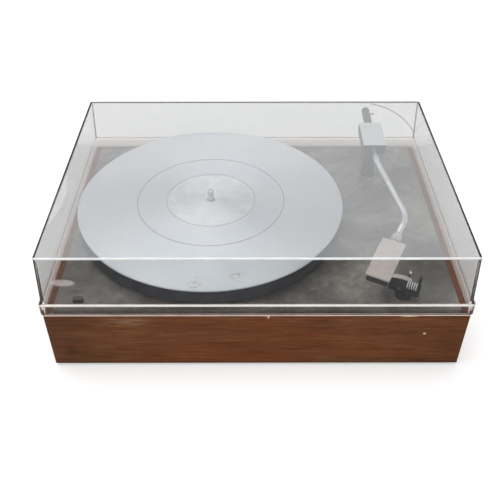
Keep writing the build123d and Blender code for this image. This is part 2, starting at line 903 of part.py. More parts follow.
def headshell():
    """Flat plate with a round neck that enters the collar and a seat for the finger lift."""
    half = headshell_width / 2
    plate = head_box((0, headshell_length), (-half, half), (0, headshell_thickness))
    neck = pin_along(on_head(-7, 0), (*head_forward, 0), tube_radius - 0.1, 14)
    neck &= head_box((-8, 10), (-5, 5), (-4, headshell_thickness))
    shell = plate + neck
    shell -= finger_lift()
    for x, y, z in cartridge_screw_places():
        shell -= rod(cartridge_screw_radius, z - 1, z + 1.5, x, y)
    return shell


def finger_lift():
    """Thin strip that leaves the headshell's right side and droops at its end."""
    straight = finger_straight
    bend = math.asin((finger_reach - finger_straight) / finger_drop_radius)
    centre = (straight, finger_thickness - finger_drop_radius)
    outer = finger_drop_radius
    inner = finger_drop_radius - finger_thickness

    def point(radius, angle):
        return centre[0] + radius * math.sin(angle), centre[1] + radius * math.cos(angle)

    top = ThreePointArc(point(outer, 0), point(outer, bend / 2), point(outer, bend))
    below = ThreePointArc(point(inner, bend), point(inner, bend / 2), point(inner, 0))
    lines = [
        Line((0, 0), (0, finger_thickness)), Line((0, finger_thickness), (straight, finger_thickness)), top,
        Line(point(outer, bend), point(inner, bend)), below, Line((straight, 0), (0, 0)),
    ]
    face = make_face(lines)
    turn = math.radians(finger_angle)
    direction = (math.cos(turn), math.sin(turn), 0)
    width_way = (-math.sin(turn), math.cos(turn), 0)
    start = on_head(finger_start, headshell_width / 2 - 4.5)
    plane = Plane(origin=start, x_dir=direction, z_dir=(-width_way[0], -width_way[1], 0))
    return extrude(plane * face, finger_half_width, both=True)


def cartridge_screw_places():
    return [on_head(cartridge_screw_forward, side * cartridge_screw_spread) for side in (-1, 1)]


def cartridge():
    """Pick-up body under the front of the headshell."""
    across = (-cartridge_half_width, cartridge_half_width)
    body = head_box((cartridge_start, cartridge_end), across, (-cartridge_depth, 0))
    body = chamfer(body.edges().filter_by(Axis.Z), 0.8)
    for x, y, z in cartridge_screw_places():
        body -= rod(cartridge_screw_radius, z - 10, z + 1, x, y)
        body -= rod(2.3, z - 10, z - 6.0, x, y)
    return body


def cartridge_screws():
    return single(
        rod(cartridge_screw_radius, z - 7.4, z + 1.4, x, y) + rod(2.2, z - 7.4, z - 6.1, x, y)
        for x, y, z in cartridge_screw_places()
    )


def stylus_holder():
    return head_box((38, 50), (-3, 3), (-cartridge_depth - 0.8, -cartridge_depth))


def stylus():
    """Thin cantilever with the pointed tip under its end."""
    beam = pin_along(on_head(44, 0, -8.71), (*head_forward, 0), 0.3, 3.2)
    tip_x, tip_y, tip_z = on_head(46.8, 0, -9.4)
    cone = Pos(tip_x, tip_y, tip_z) * Cone(0.1, 0.4, 0.8, align=flat_bottom)
    return beam + cone


def rear_stub():
    """Rod behind the pivot cover that carries the counterweight."""
    return pin_along((elbow_rear[0], pivot_y + 14, pivot_z), (0, 1, 0), stub_radius, stub_length)


def counterweight():
    """Dark cylinder with a domed rear end, bored for the stub."""
    radius = counterweight_radius
    length = counterweight_rear - counterweight_front
    weight = pin_along((elbow_rear[0], counterweight_front, pivot_z), (0, 1, 0), radius, length)
    weight = fillet(weight.edges().sort_by(Axis.Y)[-1], 3.0)
    bore_start = (elbow_rear[0], counterweight_front - 1, pivot_z)
    weight -= pin_along(bore_start, (0, 1, 0), stub_radius + 0.05, length - 0.3)
    screw_start = (elbow_rear[0] + stub_radius, counterweight_screw_y, pivot_z)
    return weight - pin_along(screw_start, (1, 0, 0), set_screw_radius, 4)


def counterweight_screw():
    """Small set screw on the right of the counterweight."""
    stem_start = (elbow_rear[0] + stub_radius + 0.4, counterweight_screw_y, pivot_z)
    head_start = (elbow_rear[0] + stub_radius + 4.2, counterweight_screw_y, pivot_z)
    stem = pin_along(stem_start, (1, 0, 0), set_screw_radius, 4.6)
    return stem + pin_along(head_start, (1, 0, 0), 1.5, 2.2)


# Arm rest

def on_rest(shape):
    """A piece drawn along X at the origin, brought to the arm rest's place and direction."""
    return Pos(rest_x, rest_y, 0) * (Rot(0, 0, rest_angle) * shape)


def arm_rest_base():
    """Black moulded bar on a short stem and a round foot, with a lug behind for the ball pin."""
    body = bar((-15.5, 15.5), (-5, 5), (rest_bar_low, rest_bar_top))
    body = fillet(body.edges().filter_by(Axis.Z), 2.0)
    body = fillet(body.faces().sort_by(Axis.Z)[-1].edges(), 1.0)
    body += rod(4.0, plate_top + 1, rest_bar_low + 0.5)
    body += rod(8.5, plate_top, plate_top + 1.2)
    body += rod(rest_stem_radius, plate_bottom - 6, plate_top + 1)
    body += bar((-3, 5), (4, 10), (rest_bar_low, rest_bar_low + 4))
    body -= rod(rest_pin_radius, rest_bar_low, rest_bar_low + 5, *ball_pin_place)
    body -= rod(rest_pin_radius, rest_bar_low + 4, rest_bar_top + 1, *upright_pin_place)
    body -= Plane(origin=roller_place, z_dir=(1, 0, 0)) * Cylinder(4.2, 11.4)
    body -= pin_along((rest_screw_x, -6, rest_screw_z), (0, 1, 0), 0.9, 4)
    return on_rest(body)


def rest_roller():
    """Ribbed roller lying in the bar's right end."""
    axis = Plane(origin=roller_place, z_dir=(1, 0, 0))
    roller = axis * Cylinder(3.2, 10.8)
    for step in range(5):
        roller += (axis * Pos(0, 0, -4.4 + 2.2 * step)) * Cylinder(4.0, 1.1)
    return on_rest(roller)


def rest_pins():
    """Ball-headed pin, small upright pin, front screw and the nut under the plate."""
    ball_pin = rod(rest_pin_radius, rest_bar_low + 0.5, 104.8, *ball_pin_place)
    ball_pin += Pos(*ball_pin_place, 105.8) * Sphere(1.9)
    upright = rod(rest_pin_radius, rest_bar_low + 4.5, 101, *upright_pin_place)
    head = pin_along((rest_screw_x, -6.2, rest_screw_z), (0, 1, 0), 1.7, 1.2)
    front = head + pin_along((rest_screw_x, -5.2, rest_screw_z), (0, 1, 0), 0.9, 3)
    nut = hex_nut(6.0, rest_stem_radius + 0.02, plate_bottom - 4, plate_bottom, 0, 0)
    return on_rest(single([ball_pin, upright, front, nut]))


def rest_clip():
    """Open hook at the bar's right rear corner."""
    x, y, z = clip_place
    centre = Plane(origin=clip_place, z_dir=(1, 0, 0))
    band = centre * (Cylinder(4.2, 2.6) - Cylinder(3.0, 4.0))
    band -= bar((x - 2.5, x + 2.5), (y, y + 4.8), (z, z + 5.5))
    band += bar((x - 1.3, x + 1.3), (5.0, 5.4), (90, z))
    return on_rest(band)


# Dust cover

def rounded_column(low, high, low_size, high_size, low_corner, high_corner):
    """A tapering block with rounded upright corners."""
    bottom = Pos(0, 0, low) * RectangleRounded(*low_size, low_corner)
    top = Pos(0, 0, high) * RectangleRounded(*high_size, high_corner)
    return loft([bottom, top], ruled=True)


def dust_cover():
    """Clear cover: drafted walls on a thicker rim band that stands on the rails."""
    rim_width = plinth_width + 2 * cover_overhang
    rim_depth = plinth_depth + 2 * cover_overhang
    step_height = plinth_top + cover_rim_height
    top = step_height + cover_body_height
    slope = cover_draft / cover_body_height
    rim = extrude(
        Pos(0, 0, plinth_top) * RectangleRounded(rim_width, rim_depth, cover_corner + 1.5), cover_rim_height
    )
    rim = fillet(rim.faces().sort_by(Axis.Z)[-1].edges(), 0.8)
    body_low = (rim_width - 2 * cover_step, rim_depth - 2 * cover_step)
    body_high = (body_low[0] - 2 * cover_draft, body_low[1] - 2 * cover_draft)
    outside = rounded_column(step_height - 1, top, body_low, body_high, cover_corner, cover_corner - 0.5)
    outside = fillet(outside.faces().sort_by(Axis.Z)[-1].edges(), 1.0)
    ceiling = top - cover_wall
    spread = 2 * slope * (step_height - plinth_top + 1)
    inner_low = (body_low[0] - 2 * cover_wall + spread, body_low[1] - 2 * cover_wall + spread)
    shrink = 2 * slope * (ceiling - plinth_top + 1)
    inner_high = (inner_low[0] - shrink, inner_low[1] - shrink)
    inside = rounded_column(plinth_top - 1, ceiling, inner_low, inner_high, 2.5, 2.0)
    return rim + outside - inside


level_arm = {
    "pivot_cover": arm_block,
    "tilt_pivot_pins": tilt_pins,
    "arm_tube": arm_tube,
    "headshell_collar": collar_nut,
    "headshell": headshell,
    "finger_lift": finger_lift,
    "cartridge": cartridge,
    "cartridge_screws": cartridge_screws,
    "stylus_holder": stylus_holder,
    "stylus": stylus,
    "rear_stub": rear_stub,
    "counterweight": counterweight,
    "counterweight_screw": counterweight_screw,
}

pieces = {
    "plinth_front_rail": front_rail(),
    "plinth_rear_rail": rear_rail(),
    "plinth_left_rail": side_rail(-1),
    "plinth_right_rail": side_rail(1),
    "corner_blocks": corner_blocks(),
    "base_board": base_board(),
    "rubber_feet": rubber_feet(),
    "foot_screws": foot_screws(),
    "top_plate": top_plate(),
    "wood_screws": wood_screws(),
    "subchassis": subchassis(),
    "weld_studs": weld_studs(),
    "stud_nuts": stud_nuts(),
    "suspension_springs": suspension_springs(),
    "suspension_grommets": suspension_grommets(),
    "bearing_housing": bearing_housing(),
    "bearing_screws": bearing_screws(),
    "bearing_bushes": bearing_bushes(),
    "thrust_pad": thrust_pad(),
    "spindle_shaft": spindle_shaft(),
    "inner_platter": inner_platter(),
    "outer_platter": outer_platter(),
    "drive_belt": drive_belt(),
    "motor_can": motor_can(),
    "motor_coil": motor_coil(),
    "motor_rotor": motor_rotor(),
    "motor_bushes": motor_bushes(),
    "motor_shaft": motor_shaft(),
    "motor_pulley": motor_pulley(),
    "motor_grommets": motor_grommets(),
    "power_switch": power_switch(),
    "power_knob": power_knob(),
    "socket_panel": socket_panel(),
    "phono_sockets": phono_sockets(),
    "ground_terminal": ground_terminal(),
    "cord_gland": cord_gland(),
    "terminal_strip": terminal_strip(),
    "arm_pillar": arm_pillar(),
    "pillar_nut": pillar_nut(),
    "pivot_bearings": pivot_bearings(),
    "pivot_shaft": pivot_shaft(),
    "arm_yoke": arm_yoke(),
    "arm_rest_base": arm_rest_base(),
    "arm_rest_roller": rest_roller(),
    "arm_rest_pins": rest_pins(),
    "arm_rest_clip": rest_clip(),
    "dust_cover": dust_cover(),
}

for name, make in level_arm.items():
    pieces[name] = tipped(make())

os.makedirs("parts", exist_ok=True)
for name, piece in pieces.items():
    export_step(piece, os.path.join("parts", name + ".step"))
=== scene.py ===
import math

import bpy
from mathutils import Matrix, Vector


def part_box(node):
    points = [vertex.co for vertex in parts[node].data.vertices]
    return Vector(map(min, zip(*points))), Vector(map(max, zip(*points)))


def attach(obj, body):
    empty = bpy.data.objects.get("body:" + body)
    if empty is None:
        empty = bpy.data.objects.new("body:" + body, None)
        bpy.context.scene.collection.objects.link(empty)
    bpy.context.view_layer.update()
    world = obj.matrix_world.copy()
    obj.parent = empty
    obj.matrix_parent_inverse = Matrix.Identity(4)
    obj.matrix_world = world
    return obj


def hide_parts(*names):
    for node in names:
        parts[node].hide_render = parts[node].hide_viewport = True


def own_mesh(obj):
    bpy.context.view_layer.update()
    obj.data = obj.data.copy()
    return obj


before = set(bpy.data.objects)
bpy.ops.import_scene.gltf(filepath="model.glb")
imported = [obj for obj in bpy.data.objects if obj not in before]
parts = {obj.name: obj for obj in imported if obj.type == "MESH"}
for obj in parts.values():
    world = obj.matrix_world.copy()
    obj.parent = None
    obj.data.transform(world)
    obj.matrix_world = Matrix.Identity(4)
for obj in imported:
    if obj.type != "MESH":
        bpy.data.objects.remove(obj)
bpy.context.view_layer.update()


# Plinth rails.
# Four walnut boards, mitred and glued at the corners and oiled, with the grain running along each board.
# The front board is worn: it has darker ends, a rubbed place, a smudge and pale nicks, and a painted shade
# along its foot.

def tone(red, green, blue):
    """An sRGB colour from 0 to 255 as the linear values that a shader takes."""
    shares = [value / 255 for value in (red, green, blue)]
    return tuple(s / 12.92 if s <= 0.04045 else ((s + 0.055) / 1.055) ** 2.4 for s in shares) + (1.0,)


def add(tree, kind, values=None, **settings):
    """A node with its settings and with each input set to a value or wired from a socket."""
    made = tree.nodes.new(kind)
    for key, value in settings.items():
        setattr(made, key, value)
    for key, value in (values or {}).items():
        if isinstance(value, bpy.types.NodeSocket):
            tree.links.new(value, made.inputs[key])
        else:
            made.inputs[key].default_value = value
    return made


def new_finish(name, roughness=0.5, metallic=0.0, specular=0.5):
    """A material with its shader's plain values set."""
    material = bpy.data.materials.new(name)
    material.use_nodes = True
    shader = material.node_tree.nodes["Principled BSDF"]
    shader.inputs["Roughness"].default_value = roughness
    shader.inputs["Metallic"].default_value = metallic
    shader.inputs["Specular IOR Level"].default_value = specular
    return material, material.node_tree, shader


def place(tree, scale=(1, 1, 1), location=(0, 0, 0), rotation=(0, 0, 0)):
    """Object coordinates, scaled, moved and turned for a pattern."""
    coordinates = add(tree, "ShaderNodeTexCoord").outputs["Object"]
    values = {"Vector": coordinates, "Scale": scale, "Location": location, "Rotation": rotation}
    return add(tree, "ShaderNodeMapping", values).outputs["Vector"]


def along_axis(tree, axis):
    """One object coordinate, as a value."""
    return add(tree, "ShaderNodeSeparateXYZ", {"Vector": place(tree)}).outputs[axis]


def cloud(tree, vector, scale, detail=4.0, rough=0.55, distortion=0.0):
    """Smooth noise, as a factor."""
    values = {
        "Vector": vector, "Scale": scale, "Detail": detail, "Roughness": rough, "Distortion": distortion,
    }
    return add(tree, "ShaderNodeTexNoise", values).outputs["Fac"]


def colours(tree, factor, *stops):
    """A colour ramp through positions and colours."""
    ramp = add(tree, "ShaderNodeValToRGB", {"Fac": factor})
    elements = ramp.color_ramp.elements
    while len(elements) < len(stops):
        elements.new(0.5)
    for element, (position, colour) in zip(elements, stops):
        element.position = position
        element.color = colour
    return ramp.outputs["Color"]


def between(tree, value, low, high, low_out=0.0, high_out=1.0):
    """A value carried from one range to another, held at its ends."""
    values = {"Value": value, "From Min": low, "From Max": high, "To Min": low_out, "To Max": high_out}
    return add(tree, "ShaderNodeMapRange", values).outputs["Result"]


def maths(tree, operation, a, b=0.0):
    return add(tree, "ShaderNodeMath", {0: a, 1: b}, operation=operation).outputs["Value"]


def times(tree, a, b):
    return maths(tree, "MULTIPLY", a, b)


def length_of(tree, vector):
    return add(tree, "ShaderNodeVectorMath", {0: vector}, operation="LENGTH").outputs["Value"]


def mixed(tree, factor, under, over):
    """Two colours mixed by a factor."""
    return add(tree, "ShaderNodeMix", {0: factor, 6: under, 7: over}, data_type="RGBA").outputs[2]


def patch(tree, centre, reach, soft=0.6):
    """1 inside an ellipsoid and 0 outside it, with a soft edge."""
    scale = tuple(1 / r for r in reach)
    location = tuple(-c / r for c, r in zip(centre, reach))
    distance = length_of(tree, place(tree, scale=scale, location=location))
    return between(tree, distance, 1 - soft, 1, 1.0, 0.0)


def relief(tree, shader, height, strength, distance):
    """Bump on a shader from a height pattern."""
    values = {"Height": height, "Strength": strength, "Distance": distance}
    tree.links.new(add(tree, "ShaderNodeBump", values).outputs["Normal"], shader.inputs["Normal"])


def uneven(tree, shader, pattern, low, high):
    """Roughness that follows a pattern from one value to another."""
    tree.links.new(between(tree, pattern, 0.3, 0.7, low, high), shader.inputs["Roughness"])


def colour_in(tree, shader, socket):
    tree.links.new(socket, shader.inputs["Base Color"])


def give(material, *names):
    """One material for whole CAD nodes."""
    for name in names:
        parts[name].data.materials.clear()
        parts[name].data.materials.append(material)


def walnut(name, along_x, shift):
    """Walnut with long fine streaks, a little broad figure and open pores along the board."""
    material, tree, shader = new_finish(name, specular=0.1)

    def along_board(stretch_along, stretch_across):
        """Object coordinates stretched so that a pattern runs long along the board."""
        if along_x:
            return place(tree, scale=(stretch_along, stretch_across, stretch_across), location=shift)
        return place(tree, scale=(stretch_across, stretch_along, stretch_across), location=shift)

    figure = cloud(tree, along_board(7.0, 34.0), 2.0, 4.0, 0.55, 0.8)
    bands = cloud(tree, along_board(14.0, 230.0), 1.5, 4.0, 0.6, 0.4)
    streaks = cloud(tree, along_board(34.0, 620.0), 1.0, 3.0, 0.6)
    grain = maths(tree, "ADD", times(tree, figure, 0.3), times(tree, bands, 0.3))
    grain = maths(tree, "ADD", grain, times(tree, streaks, 0.4))
    wood = colours(
        tree, grain, (0.36, tone(72, 40, 21)), (0.46, tone(95, 56, 31)), (0.54, tone(105, 65, 37)),
        (0.64, tone(122, 80, 48)),
    )
    red = between(tree, cloud(tree, along_board(6.0, 22.0), 1.0, 3.0), 0.48, 0.66, 0.0, 0.45)
    wood = mixed(tree, red, wood, tone(114, 56, 22))
    pores = between(tree, cloud(tree, along_board(75.0, 1300.0), 1.0, 2.0), 0.58, 0.68)
    wood = mixed(tree, times(tree, pores, 0.45), wood, tone(52, 28, 17))
    return material, tree, shader, wood, streaks


def oiled(tree, shader, wood, streaks):
    """Oiled wood, smoother along its pale streaks."""
    colour_in(tree, shader, wood)
    uneven(tree, shader, streaks, 0.66, 0.46)
    relief(tree, shader, streaks, 0.2, 0.0002)


front_wood, tree, shader, wood, streaks = walnut("walnut_front", True, (0.3, 0.0, 0.2))
front_y = -0.156
along = along_axis(tree, "X")
darker_right = between(tree, along, 0.14, 0.20, 0.0, 0.5)
wood = mixed(tree, darker_right, wood, tone(76, 38, 6))
darker_left = between(tree, along, -0.14, -0.19, 0.0, 0.5)
wood = mixed(tree, darker_left, wood, tone(74, 42, 24))
rubbed = patch(tree, (-0.13, front_y, 0.066), (0.030, 0.02, 0.009))
lines = cloud(tree, place(tree, scale=(40.0, 40.0, 900.0)), 1.5, 3.0)
worn = times(tree, rubbed, between(tree, lines, 0.45, 0.62, 0.0, 0.6))
wood = mixed(tree, worn, wood, tone(148, 120, 98))
smudge = times(tree, patch(tree, (-0.192, front_y, 0.022), (0.010, 0.02, 0.010), 0.9), 0.5)
wood = mixed(tree, smudge, wood, tone(46, 28, 20))
nicks = (
    ((0.171, front_y, 0.048), (0.0018, 0.01, 0.0014), 0.3),
    ((0.009, front_y, 0.0745), (0.003, 0.01, 0.0016), 0.5),
    ((0.0115, front_y, 0.0725), (0.0012, 0.01, 0.0030), 0.5),
    ((0.152, front_y, 0.0735), (0.011, 0.01, 0.0012), 0.6),
)
for centre, reach, soft in nicks:
    wood = mixed(tree, patch(tree, centre, reach, soft), wood, tone(206, 186, 160))
height = along_axis(tree, "Z")
chipped_top = (0.0742, 0.0764)
near_top = between(tree, height, *chipped_top)
flecks = between(tree, cloud(tree, place(tree, scale=(90.0, 90.0, 90.0)), 1.0, 3.0), 0.58, 0.66)
wood = mixed(tree, times(tree, near_top, flecks), wood, tone(170, 132, 102))
# Painted shade: the board darkens towards the floor, where the contact shadow falls.
foot_shade_band = (0.008, 0.003)
painted_foot_shade = between(tree, height, *foot_shade_band, 0.0, 0.45)
wood = mixed(tree, painted_foot_shade, wood, tone(46, 27, 19))
oiled(tree, shader, wood, streaks)
give(front_wood, "plinth_front_rail")

for rail, along_x, shift in (
    ("plinth_rear_rail", True, (1.7, 0.4, 0.9)),
    ("plinth_left_rail", False, (0.2, 2.3, 0.5)),
    ("plinth_right_rail", False, (0.8, 3.1, 1.4)),
):
    rail_wood, tree, shader, wood, streaks = walnut("walnut_" + rail, along_x, shift)
    oiled(tree, shader, wood, streaks)
    give(rail_wood, rail)


# Corner blocks and base board.
# Four softwood glue blocks stiffen the mitres, and a hardboard floor is screwed up into them.
# The hardboard is smooth and brown with a faint fibre mottle, and has vent holes under the motor.

softwood, tree, shader = new_finish("glued_softwood", roughness=0.7, specular=0.3)
rings = cloud(tree, place(tree, scale=(60.0, 60.0, 4.0)), 3.0, 4.0)
colour_in(tree, shader, colours(tree, rings, (0.35, tone(168, 132, 92)), (0.65, tone(205, 172, 128))))
relief(tree, shader, rings, 0.2, 0.0004)
give(softwood, "corner_blocks")

hardboard, tree, shader = new_finish("hardboard", roughness=0.6, specular=0.3)
fibres = cloud(tree, place(tree), 420.0, 6.0, 0.7)
colour_in(tree, shader, colours(tree, fibres, (0.35, tone(82, 56, 38)), (0.65, tone(122, 88, 60))))
relief(tree, shader, fibres, 0.2, 0.0003)
give(hardboard, "base_board")


# Feet.
# Four moulded rubber feet stand under the corners, each with a sunk seat for the screw that holds it.
# The rubber is black, matt and a little dusty.

black_rubber, tree, shader = new_finish("foot_rubber", roughness=0.8, specular=0.3)
dust = cloud(tree, place(tree), 160.0, 5.0, 0.6)
colour_in(tree, shader, colours(tree, dust, (0.4, tone(24, 24, 25)), (0.75, tone(58, 57, 55))))
relief(tree, shader, cloud(tree, place(tree), 900.0, 2.0), 0.15, 0.0002)
give(black_rubber, "rubber_feet")


# Screws.
# Slotted pan-head screws in zinc-plated steel, with cut threads, hold the plate's tabs, the base board,
# the socket panel, the feet and the bearing's flange. All were driven by hand, so the slots differ.

def plated(name, dark, pale, roughness=0.32, scale=700.0):
    """Plated or bare metal with fine uneven polish."""
    material, tree, shader = new_finish(name, metallic=1.0)
    polish = cloud(tree, place(tree), scale, 4.0, 0.6)
    colour_in(tree, shader, colours(tree, polish, (0.3, dark), (0.7, pale)))
    uneven(tree, shader, polish, roughness + 0.1, roughness - 0.06)
    return material


zinc = plated("zinc_plate", tone(150, 150, 148), tone(196, 196, 192))


def shape_tree(name, *sizes):
    """An empty tree for geometry with named inputs, and the sockets that give them."""
    tree = bpy.data.node_groups.new(name, "GeometryNodeTree")
    tree.is_modifier = True
    tree.interface.new_socket("Geometry", in_out="INPUT", socket_type="NodeSocketGeometry")
    for size in sizes:
        tree.interface.new_socket(size, in_out="INPUT", socket_type="NodeSocketFloat")
    tree.interface.new_socket("Finish", in_out="INPUT", socket_type="NodeSocketMaterial")
    tree.interface.new_socket("Geometry", in_out="OUTPUT", socket_type="NodeSocketGeometry")
    return tree, tree.nodes.new("NodeGroupInput").outputs


def shape_end(tree, shape, given):
    """Makes a tree's copies real, sets their finish and ends it."""
    whole = add(tree, "GeometryNodeRealizeInstances", {"Geometry": shape}).outputs["Geometry"]
    values = {"Geometry": whole, "Material": given["Finish"]}
    finished = add(tree, "GeometryNodeSetMaterial", values).outputs["Geometry"]
    tree.links.new(finished, tree.nodes.new("NodeGroupOutput").inputs["Geometry"])


def upright(tree, z):
    return add(tree, "ShaderNodeCombineXYZ", {"Z": z}).outputs["Vector"]


def moved(tree, geometry, offset):
    values = {"Geometry": geometry, "Translation": offset}
    return add(tree, "GeometryNodeTransform", values).outputs["Geometry"]


def marked(tree, label, kind):
    """A value that each starting point carries by name."""
    values = {"Name": label}
    return add(tree, "GeometryNodeInputNamedAttribute", values, data_type=kind).outputs["Attribute"]


def grown(name, tree, sizes, points, joins=(), **marks):
    """The plain mesh that a tree makes from points and the marks on them, standing at the origin."""
    start = bpy.data.meshes.new(name)
    start.from_pydata(points, joins, [])
    for label, values in marks.items():
        vectors = isinstance(values[0], tuple)
        layer = start.attributes.new(label, "FLOAT_VECTOR" if vectors else "FLOAT", "POINT")
        for entry, value in zip(layer.data, values):
            setattr(entry, "vector" if vectors else "value", value)
    piece = bpy.data.objects.new(name, start)
    bpy.context.scene.collection.objects.link(piece)
    modifier = piece.modifiers.new("shape", "NODES")
    modifier.node_group = tree
    for socket in tree.interface.items_tree:
        if socket.in_out == "INPUT" and socket.name in sizes:
            modifier[socket.identifier] = sizes[socket.name]
    evaluated = piece.evaluated_get(bpy.context.evaluated_depsgraph_get())
    plain = bpy.data.meshes.new_from_object(evaluated)
    piece.modifiers.remove(modifier)
    piece.data = plain
    return piece


def smoothed(piece, crease=35):
    """Smooth shading that keeps edges sharper than the crease angle."""
    piece.data.polygons.foreach_set("use_smooth", [True] * len(piece.data.polygons))
    piece.data.set_sharp_from_angle(angle=math.radians(crease))


screw_sizes = ("Head Radius", "Head Height", "Shank Radius", "Shank Length", "Pitch")
screw, given = shape_tree("slotted_screw", *screw_sizes)
values = {"Vertices": 28, "Fill Segments": 3, "Radius": given["Head Radius"], "Depth": given["Head Height"]}
head = add(screw, "GeometryNodeMeshCylinder", values)
position = add(screw, "GeometryNodeInputPosition").outputs["Position"]
axes = add(screw, "ShaderNodeSeparateXYZ", {"Vector": position}).outputs
squared = maths(screw, "ADD", maths(screw, "POWER", axes["X"], 2.0), maths(screw, "POWER", axes["Y"], 2.0))
share = maths(screw, "DIVIDE", squared, maths(screw, "POWER", given["Head Radius"], 2.0))
fall = times(screw, share, times(screw, given["Head Height"], -0.4))
dome = upright(screw, fall)
values = {"Geometry": head.outputs["Mesh"], "Selection": head.outputs["Top"], "Offset": dome}
domed = add(screw, "GeometryNodeSetPosition", values).outputs["Geometry"]
lift = upright(screw, times(screw, given["Head Height"], 0.5))
domed = moved(screw, domed, lift)
values = {
    "X": times(screw, given["Head Radius"], 3.0),
    "Y": times(screw, given["Head Radius"], 0.3),
    "Z": given["Head Height"],
}
cutter_size = add(screw, "ShaderNodeCombineXYZ", values).outputs["Vector"]
cutter = add(screw, "GeometryNodeMeshCube", {"Size": cutter_size}).outputs["Mesh"]
cutter = moved(screw, cutter, upright(screw, given["Head Height"]))
values = {"Mesh 1": domed, "Mesh 2": cutter}
settings = {"operation": "DIFFERENCE", "solver": "EXACT"}
slotted = add(screw, "GeometryNodeMeshBoolean", values, **settings).outputs["Mesh"]

values = {
    "Vertices": 12, "Side Segments": 48, "Radius": given["Shank Radius"], "Depth": given["Shank Length"],
}
shank = add(screw, "GeometryNodeMeshCylinder", values).outputs["Mesh"]
turns = maths(screw, "DIVIDE", times(screw, axes["Z"], 2 * math.pi), given["Pitch"])
phase = maths(screw, "SUBTRACT", maths(screw, "ARCTAN2", axes["Y"], axes["X"]), turns)
thread = times(screw, maths(screw, "SUBTRACT", maths(screw, "COSINE", phase), 1.0), 0.12)
tip = maths(screw, "ADD", axes["Z"], times(screw, given["Shank Length"], 0.5))
point = between(screw, tip, 0.0, 0.003, -0.8, 0.0)
narrower = maths(screw, "ADD", thread, point)
inward = add(screw, "ShaderNodeCombineXYZ", {
    "X": times(screw, axes["X"], narrower), "Y": times(screw, axes["Y"], narrower),
}).outputs["Vector"]
threaded = add(screw, "GeometryNodeSetPosition", {"Geometry": shank, "Offset": inward}).outputs["Geometry"]
drop = upright(screw, times(screw, given["Shank Length"], -0.499))
threaded = moved(screw, threaded, drop)
joined = add(screw, "GeometryNodeJoinGeometry")
screw.links.new(slotted, joined.inputs["Geometry"])
screw.links.new(threaded, joined.inputs["Geometry"])
facing = marked(screw, "facing", "FLOAT_VECTOR")
aimed = add(screw, "FunctionNodeAlignRotationToVector", {"Vector": facing}, axis="Z")
slot = marked(screw, "slot", "FLOAT")
turned_by = add(screw, "FunctionNodeAxisAngleToRotation", {"Axis": (0, 0, 1), "Angle": slot})
values = {"Rotation": aimed.outputs["Rotation"], "Rotate By": turned_by.outputs["Rotation"]}
aimed = add(screw, "FunctionNodeRotateRotation", values, rotation_space="LOCAL").outputs["Rotation"]
values = {"Points": given["Geometry"], "Instance": joined.outputs["Geometry"], "Rotation": aimed}
shape_end(screw, add(screw, "GeometryNodeInstanceOnPoints", values).outputs["Instances"], given)


def screws(name, node, body, head, shank, places):
    """Like screws for a CAD node: head and shank as radius and length, places as point and facing."""
    sizes = {
        "Head Radius": head[0], "Head Height": head[1], "Shank Radius": shank[0], "Shank Length": shank[1],
        "Pitch": 0.0013, "Finish": zinc,
    }
    slots = [0.4 + 1.7 * i for i in range(len(places))]
    piece = grown(name, screw, sizes, [p for p, _ in places], facing=[f for _, f in places], slot=slots)
    smoothed(piece)
    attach(piece, body)
    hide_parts(node)


sides = (-1, 1)
rail_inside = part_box("plinth_right_rail")[0].x
plate_sheet = 0.0012
tab_x = rail_inside - plate_sheet
tab_y, tab_z = 0.098, 0.067
screws("slotted_tab_screws", "wood_screws", "plinth", (0.0032, 0.0020), (0.00165, 0.0090), [
    ((sx * tab_x, sy * tab_y, tab_z), (-sx, 0.0, 0.0)) for sx in sides for sy in sides
])
board_x, board_y, board_z = 0.171, 0.115, 0.0076
screws("slotted_board_screws", "wood_screws", "plinth", (0.0030, 0.0015), (0.0016, 0.0134), [
    ((sx * board_x, sy * board_y, board_z), (0.0, 0.0, -1.0)) for sx in sides for sy in sides
])
panel_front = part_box("socket_panel")[0].y
panel_x, panel_z = 0.110, 0.040
panel_reach, panel_rise = 0.032, 0.009
screws("slotted_panel_screws", "wood_screws", "plinth", (0.0028, 0.0018), (0.00125, 0.0085), [
    ((panel_x + sx * panel_reach, panel_front, panel_z + sz * panel_rise), (0.0, -1.0, 0.0))
    for sx in sides for sz in sides
])
foot_x, foot_y, foot_seat = 0.183, 0.127, 0.0026
screws("slotted_foot_screws", "foot_screws", "plinth", (0.0044, 0.0018), (0.0021, 0.0204), [
    ((sx * foot_x, sy * foot_y, foot_seat), (0.0, 0.0, -1.0)) for sx in sides for sy in sides
])
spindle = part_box("spindle_shaft")
spindle_x = (spindle[0].x + spindle[1].x) / 2
spindle_y = (spindle[0].y + spindle[1].y) / 2
pivot_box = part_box("pivot_shaft")
bar_x = (pivot_box[0].x + pivot_box[1].x) / 2 - spindle_x
bar_y = (pivot_box[0].y + pivot_box[1].y) / 2 - spindle_y
bearing_circle, flange_top = 0.015, 0.062
bearing_angles = [math.atan2(bar_y, bar_x) + math.radians(90 + 120 * i) for i in range(3)]
bearing_places = [
    (spindle_x + bearing_circle * math.cos(a), spindle_y + bearing_circle * math.sin(a), flange_top)
    for a in bearing_angles
]
screws("slotted_bearing_screws", "bearing_screws", "floating_chassis", (0.0028, 0.0020), (0.0015, 0.0060), [
    (spot, (0.0, 0.0, 1.0)) for spot in bearing_places
])


# Top plate.
# A shallow steel tray with a turned-down edge, sprayed grey with a fine texture, that stands on the rails.
# Age has left stains, rust, grime, pale spots and scrapes in the paint.

